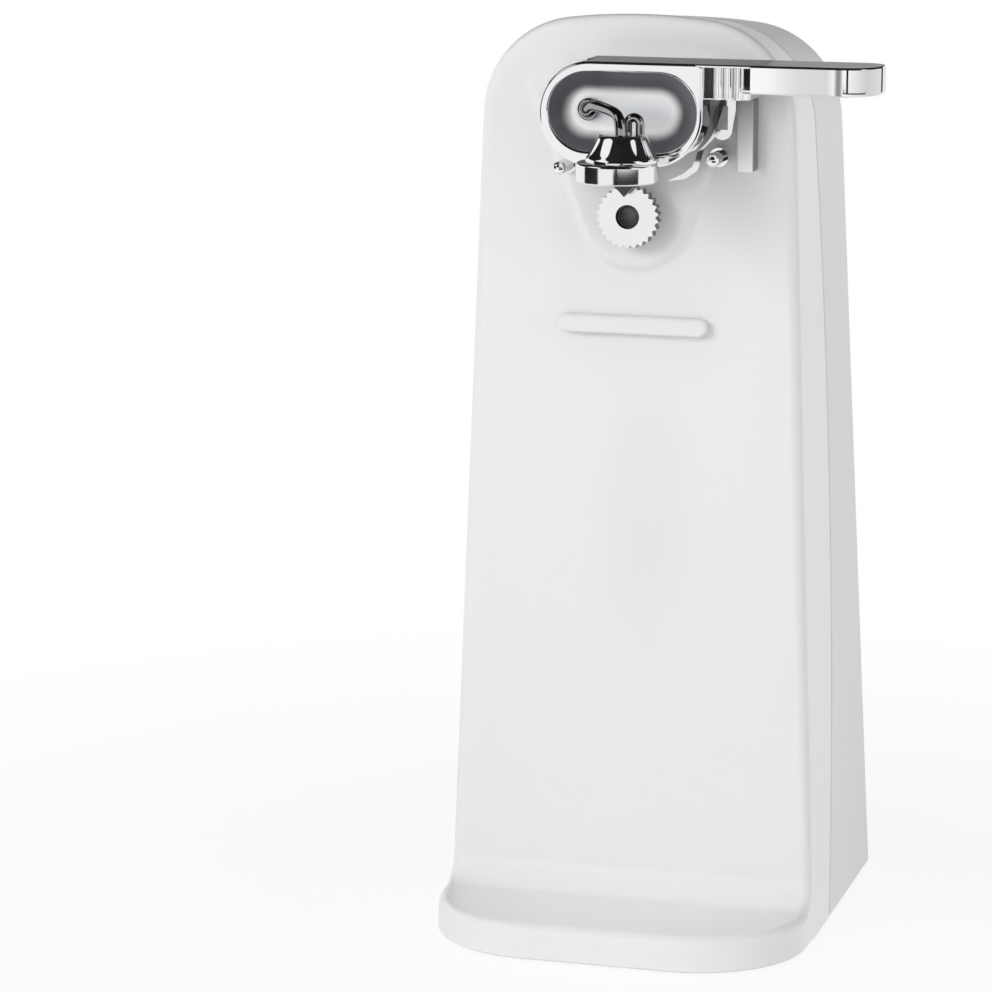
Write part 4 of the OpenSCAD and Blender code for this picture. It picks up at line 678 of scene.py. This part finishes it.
def rear_shell():
    """Back shell from the parting gap over its rounded edge to the rear face with its holes."""
    bm = bmesh.new()
    n = SIDES.count()
    starts = [SIDES.seam_t(i, SEAM_GAP) for i in range(n)]
    rows = []
    for inset, back in reversed(SEAM_ROUND):
        rows.append([SIDES.at(i, starts[i] + back / SIDES.length(i), inset) for i in range(n)])
    for k in range(1, REAR_SIDE_STEPS + 1):
        rows.append([SIDES.at(i, starts[i] + (1 - starts[i]) * k / REAR_SIDE_STEPS, 0.0) for i in range(n)])
    for a in arc(REAR_EDGE_STEPS)[1:]:
        back = REAR_EDGE_R * (1 - math.sin(a))
        edge = outline(REAR_HALF_W, TOP_REAR, REAR_EDGE_R * (1 - math.cos(a)))
        rows.append([(x, DEPTH - back - math.tan(REAR_LEAN) * z, z) for x, z in edge])
    loops = [add_loft(bm, rows)[-1]]
    for hole, depth in rear_holes():
        rows = [[(x, rear_y(z) - depth * k / 2, z) for x, z in hole] for k in range(3)]
        loops.append(add_loft(bm, rows, closed=True)[0])
    edges = []
    for loop in loops:
        for a, b in zip(loop, loop[1:] + loop[:1]):
            edges.append(bm.edges.get((a, b)) or bm.edges.new((a, b)))
    bmesh.ops.triangle_fill(bm, use_beauty=True, use_dissolve=False, edges=edges)
    finish_mesh(bm, "rear_shell", "housing", "rear_housing", "housing", sharp=50, own=REAR_SHADED_PLASTIC)


# ---- Lever ------------------------------------------------------------------

ARC_N, LINE_N = 40, 14
FLAT_SHARE, TURN_SHARE = 0.6, 0.4    # shares of the squared corner's steps on its flats and on its rounding
PLATE_CORNER_R, RIM_CORNER_R, DISH_MIDDLE_R = 1.0, 0.8, 1.0
BACK_INSET, BACK_EDGE_INSET, BACK_EDGE = 0.9, 0.05, 0.2    # the insets are shares of LEVER_RIM
CREST_STEPS, LIP_STEPS, DISH_STEPS, DISH_CURVE = 8, 6, 12, 1.6
LIP_START = 0.7                      # share of the way from the crest to the dish at which the lip starts


def squared_corner(right_c, mid_z, r, corner, a):
    """Point at angle a of the upper right end squared: two flats that meet in a rounding."""
    inner = max(r - corner, 0.0)
    rising = a < math.pi / 4
    f = (a if rising else math.pi / 2 - a) / (math.pi / 4)
    run = min(f / FLAT_SHARE, 1.0) * inner
    turn = max(0.0, (f - FLAT_SHARE) / TURN_SHARE) * math.pi / 4
    b = turn if rising else math.pi / 2 - turn
    across, up = (inner, run) if rising else (run, inner)
    return right_c + across + corner * math.cos(b), mid_z + up + corner * math.sin(b)


def stadium(left_c, right_c, mid_z, r, corner=0.0):
    """Stadium outline as (x, z); corner over 0 squares its upper right end, with that rounding."""
    points = []
    for a in arc(ARC_N, math.pi):
        a = math.pi / 2 + a
        points.append((left_c + r * math.cos(a), mid_z + r * math.sin(a)))
    for k in range(1, LINE_N):
        points.append((left_c + (right_c - left_c) * k / LINE_N, mid_z - r))
    quarter = arc(ARC_N // 2)
    for a in [b - math.pi / 2 for b in quarter] + quarter[1:]:
        if corner > 0 and a > 0:
            points.append(squared_corner(right_c, mid_z, r, corner, a))
        else:
            points.append((right_c + r * math.cos(a), mid_z + r * math.sin(a)))
    for k in range(1, LINE_N):
        points.append((right_c + (left_c - right_c) * k / LINE_N, mid_z + r))
    return points


def between(a, b, t, y):
    """Row at depth y, a share t of the way from outline a to outline b."""
    return [(p[0] + (q[0] - p[0]) * t, y, p[1] + (q[1] - p[1]) * t) for p, q in zip(a, b)]


def dish_slope(t):
    return 1 - (1 - t) ** DISH_CURVE


def add_plate(bm):
    """Plate with its rounded edge and the dish in its front."""
    plate = stadium(LEFT_C, RIGHT_C, PLATE_Z, PLATE_R, PLATE_CORNER_R)
    rim = stadium(LEFT_C, RIGHT_C, PLATE_Z, PLATE_R - LEVER_RIM, RIM_CORNER_R)
    dish, floor, middle = [stadium(DISH_LC, DISH_RC, DISH_Z, r)
                           for r in (DISH_R, DISH_FLOOR_R, DISH_MIDDLE_R)]
    front, back = -REACH, -REACH + PLATE_DEPTH
    crest = [tuple(p + (q - p) * LEVER_EDGE_R / LEVER_RIM for p, q in zip(a, b)) for a, b in zip(plate, rim)]
    rows = [between(plate, rim, BACK_INSET, back), between(plate, rim, BACK_EDGE_INSET, back),
            between(plate, plate, 0, back - BACK_EDGE)]
    for a in arc(CREST_STEPS):
        rows.append(between(plate, crest, 1 - math.cos(a), front + LEVER_EDGE_R * (1 - math.sin(a))))
    for a in arc(LIP_STEPS):
        share = LIP_START + (1 - LIP_START) * math.sin(a)
        rows.append(between(crest, dish, share, front + LEVER_LIP_R * (1 - math.cos(a))))
    for k in range(1, DISH_STEPS + 1):
        t = k / DISH_STEPS
        y = front + LEVER_LIP_R + (DISH_DEPTH - LEVER_LIP_R) * dish_slope(t)
        rows.append(between(dish, floor, t, y))
    rows.append(between(middle, middle, 0, front + DISH_DEPTH))
    add_loft(bm, rows, closed=True, cap_last=True, cap_first=True)


RIBS, RIB_R, RIB_PITCH = 3, 1.25, (HANDLE_L - PLATE_RIGHT) / 3.6
# How far the blocks run into their neighbours, and the roundings of their edges
ROOF_LAP, ROOF_FRONT_LAP, NECK_LAP, NECK_DROP, STRIP_LAP, STRIP_T = 3, 1, 1.5, 0.4, 2, 0.8
ROOF_EDGE_R, NECK_EDGE_R, STRIP_EDGE_R = 0.6, 0.5, 0.35
HUB_R, HUB_EDGE, HUB_WALL, HUB_LAP = 6.5, 0.4, 2.2, 0.5


def add_neck(bm):
    """Roof behind the plate, neck with upright ribs, strip over them, and the hub round the pivot."""
    back = -REACH + PLATE_DEPTH
    rounded_block(bm, (LEFT_C - ROOF_LAP, back - ROOF_FRONT_LAP, LEVER_TOP - LEVER_WALL),
                  (HANDLE_L + ROOF_LAP, LEVER_BACK, LEVER_TOP), ROOF_EDGE_R)
    rounded_block(bm, (PLATE_RIGHT - NECK_LAP, NECK_FRONT, NECK_Z),
                  (HANDLE_L + NECK_LAP, LEVER_BACK, LEVER_TOP - NECK_DROP), NECK_EDGE_R)
    rib = [(AXIS_R, NECK_Z), (0.9, NECK_Z + 0.1), (RIB_R, NECK_Z + 0.6), (RIB_R, LEVER_TOP - 0.9),
           (AXIS_R, LEVER_TOP - STRIP_T)]
    for i in range(RIBS):
        turned(bm, rib, PLATE_RIGHT + (i + 1) * RIB_PITCH, NECK_FRONT, 24)
    rounded_block(bm, (PLATE_RIGHT - STRIP_LAP, -REACH, LEVER_TOP - STRIP_T),
                  (HANDLE_L + ROOF_LAP, back, LEVER_TOP), STRIP_EDGE_R)
    add_handle(bm)
    hub = [(HUB_R, back - HUB_LAP), (HUB_R, LEVER_BACK - HUB_EDGE), (HUB_R - HUB_EDGE, LEVER_BACK),
           (HUB_R - HUB_WALL, LEVER_BACK)]
    turned_y(bm, hub, PIVOT_X, PIVOT_Z)


HANDLE_END_STEPS, HANDLE_BACK_STEPS, HANDLE_EDGE_STEPS = 20, 16, 6
# The handle's front slants back to the neck, as (way to the right, depth) from its left front corner
HANDLE_SLANT = ((0.0, 2.6), (0.12, 2.1), (0.45, 1.65))
HANDLE_SLANT_END, HANDLE_SLANT_SHARE = 3.0, 0.25
HANDLE_UNDER_INSET = 2.0


def handle_outline(inset):
    """Outline of the handle from above, from its left rear corner over the front to the right."""
    left, right, front, back = HANDLE_L + inset, HANDLE_R - inset, -REACH + inset, LEVER_BACK - inset
    end, corner = HANDLE_END_R - inset, HANDLE_BACK_R - inset
    points = [(left, back)] + [(left + across, front + behind) for across, behind in HANDLE_SLANT]
    points.append((left + HANDLE_SLANT_END - inset * HANDLE_SLANT_SHARE, front))
    points += [(right - end + end * math.cos(a), front + end + end * math.sin(a))
               for a in [-math.pi / 2 + b for b in arc(HANDLE_END_STEPS)]]
    points += [(right - corner + corner * math.cos(a), back - corner + corner * math.sin(a))
               for a in arc(HANDLE_BACK_STEPS)]
    return points


def add_handle(bm):
    low, high = LEVER_TOP - HANDLE_H, LEVER_TOP
    rows = [[(x, y, low) for x, y in handle_outline(HANDLE_UNDER_INSET)]]
    rows += [[(x, y, low + HANDLE_LOW_R * (1 - math.cos(a)))
              for x, y in handle_outline(HANDLE_LOW_R * (1 - math.sin(a)))] for a in arc(HANDLE_EDGE_STEPS)]
    rows += [[(x, y, high - HANDLE_TOP_R * (1 - math.sin(a)))
              for x, y in handle_outline(HANDLE_TOP_R * (1 - math.cos(a)))] for a in arc(HANDLE_EDGE_STEPS)]
    add_loft(bm, rows, closed=True, cap_first=True, cap_last=True)


DISH_EASE = ((0.05, 0.1), 0.02)    # slack before, behind and round the dish
LOOKS_UP, LOOKS_BACK, UPRIGHT, FROM_HANDLE = 0.8, 0.05, 0.7, 0.4


def lever_finish(face):
    """Which of the lever's materials a face has: 0 chrome, 1 dish with painted reflection, 2 top with painted
    dark reflection or 3 handle front with painted reflection.
    """
    x, y, z = from_middle(face.center)
    off_line = math.hypot(x - min(max(x, DISH_LC), DISH_RC), z - DISH_Z)
    (before, behind), around = DISH_EASE
    if LEVER_LIP_R - before < y + REACH < DISH_DEPTH + behind and off_line < DISH_R + around:
        return 1
    if face.normal.z > LOOKS_UP and z > LEVER_TOP - 1:
        return 2
    if x > HANDLE_L + FROM_HANDLE and face.normal.y < LOOKS_BACK and abs(face.normal.z) < UPRIGHT:
        return 3
    return 0


def lever():
    bm = bmesh.new()
    add_plate(bm)
    add_neck(bm)
    piece = finish_mesh(bm, "lever_casting", "lever", "lever_body", "chrome", sharp=25)
    for m in (dish_painted_reflection_material(), LEVER_TOP_PAINTED_REFLECTION, handle_painted_reflection_material()):
        piece.data.materials.append(m)
    for face in piece.data.polygons:
        face.material_index = lever_finish(face)


# ---- Feed shaft -------------------------------------------------------------

NOSE_LIP, NOSE_LIP_BACK, NOSE_EDGE, NOSE_STEPS = 0.3, 0.15, 0.1, 12
JOURNAL_EDGE = 0.3


def feed_shaft():
    """Feed shaft; its nose is hollowed like a cup."""
    bm = bmesh.new()
    hollow_r, lip_y = NOSE_R - NOSE_LIP - AXIS_R, NOSE_FRONT + NOSE_LIP_BACK
    profile = [(AXIS_R + hollow_r * math.sin(a), lip_y + NOSE_HOLLOW * math.cos(a)) for a in arc(NOSE_STEPS)]
    profile += [(NOSE_R - NOSE_EDGE, NOSE_FRONT), (NOSE_R, NOSE_FRONT + NOSE_EDGE), (NOSE_R, WHEEL_BACK),
                (SHAFT_R, WHEEL_BACK), (SHAFT_R, JOURNAL_Y), (JOURNAL_R, JOURNAL_Y),
                (JOURNAL_R, SHAFT_END - JOURNAL_EDGE), (JOURNAL_R - JOURNAL_EDGE, SHAFT_END),
                (AXIS_R, SHAFT_END)]
    turned_y(bm, profile, 0.0, FEED_Z, 64)
    finish_mesh(bm, "shaft_turned", "feed", "feed_shaft", "bright_steel", sharp=40, own=SHAFT_STEEL_PAINTED_SHADE)


# ---- Lid magnet -------------------------------------------------------------

CONE_Z = CUP_Z + CUP_H
CONE_TOP = CONE_Z + CONE_H
LEG_DEPTH = 2.4
CUP_T, CUP_LOW_EDGE, CUP_BORE_EDGE = 0.8, 0.35, 0.15
CUP_ROUND = ((0.0, 0.9), (0.12, 0.5), (0.45, 0.12), (0.9, 0.0))    # (inset, drop) up to the cup's top
CONE_FOOT = ((0.3, 0.0), (0.0, 0.3), (0.0, 0.7))    # (inset, height) of the cone's rounded foot
CONE_TIP = ((-0.25, -0.35), (0.3, 0.0))             # (inset, height) of its top edge
CONE_STEPS, CONE_CURVE, CONE_START_H, CONE_END_H = 10, 0.85, 1.2, 0.8
CONE_START_IN, CONE_END_OUT = 0.3, 0.5
EYELET_EDGE, EYELET_STEPS, ARM_PLAY = 0.7, 8, 0.1
ARM_CORNERS = ((PIVOT_X, -11.4, PIVOT_Z), (PIVOT_X, -16.0, PIVOT_Z), (PIVOT_X, -21.6, PIVOT_Z),
               (-5.0, -24.8, PIVOT_Z + 2.0), (-1.0, -27.8, PIVOT_Z + 1.4), (3.6, ARM_Y + 1.6, PIVOT_Z + 0.6),
               (ARM_X, ARM_Y, PIVOT_Z - 2.0), (ARM_X, ARM_Y, CONE_TOP - LEG_DEPTH))
ARM_STEPS, HOOP_STEPS = 14, 24


def magnet_cup():
    bm = bmesh.new()
    inside, roof = CUP_R - CUP_T, CONE_Z - CUP_T
    profile = [(AXIS_R, roof), (inside, roof), (inside, CUP_Z + CUP_BORE_EDGE),
               (inside + CUP_BORE_EDGE, CUP_Z), (CUP_R - CUP_LOW_EDGE, CUP_Z), (CUP_R, CUP_Z + CUP_LOW_EDGE)]
    profile += [(CUP_R - inset, CONE_Z - drop) for inset, drop in CUP_ROUND]
    turned(bm, profile + [(AXIS_R, CONE_Z)], MAGNET_X, MAGNET_Y, 96)
    finish_mesh(bm, "cup_shell", "magnet", "magnet_cup", "chrome", sharp=40, own=CUP_CHROME)


def magnet_cone():
    bm = bmesh.new()
    start, end = CONE_BASE_R - CONE_START_IN, CONE_TOP_R + CONE_END_OUT
    profile = [(AXIS_R, CONE_Z)] + [(CONE_BASE_R - inset, CONE_Z + h) for inset, h in CONE_FOOT]
    for k in range(CONE_STEPS + 1):
        t = k / CONE_STEPS
        profile.append((start + (end - start) * t ** CONE_CURVE,
                        CONE_Z + CONE_START_H + (CONE_H - CONE_START_H - CONE_END_H) * t))
    profile += [(CONE_TOP_R - inset, CONE_TOP + h) for inset, h in CONE_TIP]
    turned(bm, profile + [(AXIS_R, CONE_TOP)], CONE_X, MAGNET_Y, 96)
    finish_mesh(bm, "holder_cone", "magnet", "magnet_holder", "chrome", sharp=40)


def magnet_eyelet():
    bm = bmesh.new()
    bore, edge, turns = ARM_R + ARM_PLAY, EYELET_EDGE, arc(EYELET_STEPS)
    profile = [(bore, EYELET_BACK), (EYELET_R, EYELET_BACK)]
    profile += [(EYELET_R - edge * (1 - math.cos(a)), EYELET_FRONT + edge * (1 - math.sin(a))) for a in turns]
    profile += [(bore + edge * (1 - math.sin(a)), EYELET_FRONT + edge * (1 - math.cos(a))) for a in turns]
    turned_y(bm, profile, PIVOT_X, PIVOT_Z, 64, ring=True)
    finish_mesh(bm, "eyelet_collar", "lever", "magnet_eyelet", "chrome", sharp=40, own=CHROME_PAINTED_DARK)


def magnet_arm():
    bm = bmesh.new()
    add_wire(bm, bend(ARM_CORNERS, ARM_STEPS), ARM_R)
    finish_mesh(bm, "arm_wire", "magnet", "magnet_arm", "chrome", sharp=60, own=CHROME_PAINTED_DARK)


def magnet_hoop():
    bm = bmesh.new()
    left, right = [[(HOOP_X + s * HOOP_HALF, HOOP_Y, z) for z in (CONE_TOP - LEG_DEPTH, CONE_TOP)]
                   for s in (-1, 1)]
    over = [(HOOP_X - HOOP_HALF * math.cos(a), HOOP_Y, CONE_TOP + HOOP_RISE + HOOP_HALF * math.sin(a))
            for a in arc(HOOP_STEPS, math.pi)]
    add_wire(bm, left + over + right[::-1], HOOP_R)
    finish_mesh(bm, "hoop_wire", "magnet", "holder_hoop", "chrome", sharp=60, own=CHROME_PAINTED_DARK)


# ---- Switch bar -------------------------------------------------------------

BUTTON_EDGE_R, FLANGE_EDGE_R, BUTTON_LAP, STEM_LAP = 0.8, 0.3, 1, 0.8


def switch_bar():
    """Switch bar with rounded edges, its flange behind the slot and its stem to the plunger."""
    bm = bmesh.new()
    low, high = [from_middle(v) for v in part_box("switch_button")]
    top = high.z - FLANGE_END
    bottom = top - BUTTON_H
    front, back = WALL + LOOSE, WALL + LOOSE + FLANGE_T
    left, right = [(low.x + high.x) / 2 + s * STEM_W / 2 for s in (-1, 1)]
    stem_z = bottom - STEM_DROP
    rounded_block(bm, (low.x + FLANGE_SIDE, low.y, bottom), (high.x - FLANGE_SIDE, front + BUTTON_LAP, top),
                  BUTTON_EDGE_R, 6)
    rounded_block(bm, (low.x, front, low.z), (high.x, back, high.z), FLANGE_EDGE_R, 2)
    rounded_block(bm, (left, back - STEM_LAP, stem_z), (right, high.y, stem_z + STEM_H), FLANGE_EDGE_R, 2)
    finish_mesh(bm, "switch_bar", "button", "switch_button", "button", sharp=40,
                own=button_painted_shade_material(bottom, top))


front_shell()
rear_shell()
lever()
magnet_cup()
magnet_cone()
magnet_eyelet()
magnet_arm()
magnet_hoop()
switch_bar()
feed_shaft()


# ---- Floor, lamps and camera ------------------------------------------------

FLOOR_SIZE = 4.0
FLOOR_COLOR = (0.93, 0.93, 0.93, 1)
FLOOR_FADE = (0.10, 0.36)    # distances between which the floor's own shading gives way to white
FLOOR_WHITE = 0.9            # share of white that the floor shows close to the object
WORLD_LEVEL = 0.71


def stage_mesh(name, half_x, half_y, m):
    """Flat rectangle round its origin that isn't part of the object."""
    mesh = bpy.data.meshes.new(name)
    mesh.from_pydata([(x * half_x, y * half_y, 0) for x, y in ((-1, -1), (1, -1), (1, 1), (-1, 1))], [],
                     [(0, 1, 2, 3)])
    obj = in_scene(name, mesh)
    obj.data.materials.append(m)
    return obj


def aim(obj, at, target):
    obj.location = at
    obj.rotation_euler = (Vector(target) - Vector(at)).to_track_quat("-Z", "Y").to_euler()


def background_rays(tree):
    """1 for the rays that show the background: from the camera, a mirror or glass."""
    path = shader(tree, "LightPath").outputs
    total = path["Is Camera Ray"]
    for kind in ("Is Glossy Ray", "Is Transmission Ray"):
        total = shader(tree, "Math", {0: total, 1: path[kind]}, operation="MAXIMUM").outputs["Value"]
    return total


def floor_material():
    """Pale floor that fades into the white background away from the object."""
    m, tree, bsdf = new_material("floor")
    bsdf.inputs["Base Color"].default_value = FLOOR_COLOR
    bsdf.inputs["Roughness"].default_value = 0.7
    spot = shader(tree, "TexCoord").outputs["Object"]
    distance = shader(tree, "VectorMath", {0: spot}, operation="LENGTH").outputs["Value"]
    fade = shader(tree, "MapRange", {"Value": distance, "From Min": FLOOR_FADE[0], "From Max": FLOOR_FADE[1],
                                     "To Min": FLOOR_WHITE}).outputs["Result"]
    share = shader(tree, "Math", {0: background_rays(tree), 1: fade}, operation="MULTIPLY").outputs["Value"]
    white = shader(tree, "Emission").outputs["Emission"]
    surface = shader(tree, "MixShader", {"Fac": share, 1: bsdf.outputs["BSDF"], 2: white}).outputs["Shader"]
    tree.links.new(surface, tree.nodes["Material Output"].inputs["Surface"])
    return m


def light_world():
    """White to the rays that show the background, and a plain level of light to the object."""
    world = bpy.data.worlds.new("studio")
    bpy.context.scene.world = world
    world.use_nodes = True
    tree = world.node_tree
    background = tree.nodes["Background"]
    background.inputs["Color"].default_value = (1, 1, 1, 1)
    level = shader(tree, "MapRange", {"Value": background_rays(tree), "To Min": WORLD_LEVEL, "To Max": 1.0})
    tree.links.new(level.outputs["Result"], background.inputs["Strength"])


def card(name, at, target, width, height, level, lights=False):
    """Plain card outside the view that the metal mirrors; lights says that it also shades the object."""
    m, tree, bsdf = new_material(name)
    bsdf.inputs["Base Color"].default_value = (level, level, level, 1)
    bsdf.inputs["Roughness"].default_value = 1.0
    bsdf.inputs["Specular IOR Level"].default_value = 0.0
    obj = stage_mesh(name, width / 2, height / 2, m)
    aim(obj, at, target)
    obj.visible_camera = False
    obj.visible_shadow = lights
    obj.visible_diffuse = lights


def upright_card(name, azimuth, spread, reach, low, high, level):
    """Card that stands upright round the object; azimuth (0 in front, 90 right) and spread in degrees."""
    a = math.radians(azimuth)
    width = 2 * reach * math.tan(math.radians(spread / 2))
    middle = (low + high) / 2
    at = (reach * math.sin(a), -reach * math.cos(a), middle)
    card(name, at, (0.0, 0.0, middle), width, high - low, level)


def lamp(name, kind, at, target, power, **settings):
    """Lamp that no metal mirrors."""
    data = bpy.data.lights.new(name, kind)
    data.energy = power
    for key, value in settings.items():
        setattr(data, key, value)
    obj = in_scene(name, data)
    aim(obj, at, target)
    obj.visible_glossy = False


def soft_lamp(name, at, target, width, height, power):
    lamp(name, "AREA", at, target, power, shape="RECTANGLE", size=width, size_y=height)


def spot_lamp(name, at, target, angle, power):
    """Narrow lamp for one place; angle in degrees."""
    lamp(name, "SPOT", at, target, power, spot_size=math.radians(angle), spot_blend=0.9,
         shadow_soft_size=0.05)


stage_mesh("floor", FLOOR_SIZE, FLOOR_SIZE, floor_material())
light_world()
card("ceiling", (0.0, 0.95, 0.66), (0.0, 0.95, 0.0), 2.4, 2.2, 0.02, lights=True)
upright_card("left_card", -60, 46, 1.1, 0.0, 0.72, 0.02)
upright_card("low_right_card", 37, 66, 0.35, 0.0, 0.187, 0.02)
upright_card("stand_card", 12, 6, 1.1, 0.0, 0.45, 0.02)
upright_card("rear_right_card", 148, 14, 1.1, 0.0, 0.5, 0.1)
upright_card("front_card", 12, 92, 1.1, 0.42, 1.5, 0.02)
card("upper_card", (0.12, -0.60, 1.30), (0.12, -0.60, 0.0), 1.8, 1.1, 0.02)
soft_lamp("key", (-0.85, -1.15, 0.62), (0.0, -0.02, 0.2), 0.6, 0.6, 8.7)
soft_lamp("fill", (1.25, -0.25, 0.25), (0.0, 0.02, 0.15), 0.9, 0.5, 3.2)
spot_lamp("foot", (0.0, -0.35, 1.0), (0.0, -0.03, 0.01), 12, 6.0)
soft_lamp("rear", (0.3, 1.35, 0.16), (0.0, 0.08, 0.12), 0.9, 0.3, 8.0)

# The photograph's camera: its angles, its lens, and the lens's place in millimetres from MIDDLE
AZIMUTH, PITCH, ROLL = math.radians(16.115), math.radians(11.041), math.radians(0.164)
LENS, SENSOR = 147.48, 36
LENS_AT = (253.29, -1004.19, 318.65)


def add_camera():
    level = math.cos(PITCH)
    back = Vector((math.sin(AZIMUTH) * level, -math.cos(AZIMUTH) * level, math.sin(PITCH)))
    right = Vector((math.cos(AZIMUTH), math.sin(AZIMUTH), 0))
    up = back.cross(right)
    turned_right = math.cos(ROLL) * right + math.sin(ROLL) * up
    turned_up = math.cos(ROLL) * up - math.sin(ROLL) * right
    data = bpy.data.cameras.new("camera")
    data.lens, data.sensor_width = LENS, SENSOR
    camera = in_scene("camera", data)
    turn = Matrix((turned_right, turned_up, back)).transposed().to_4x4()
    camera.matrix_world = Matrix.Translation(place(LENS_AT)) @ turn
    bpy.context.scene.camera = camera


add_camera()
bpy.context.scene.view_settings.view_transform = "Standard"
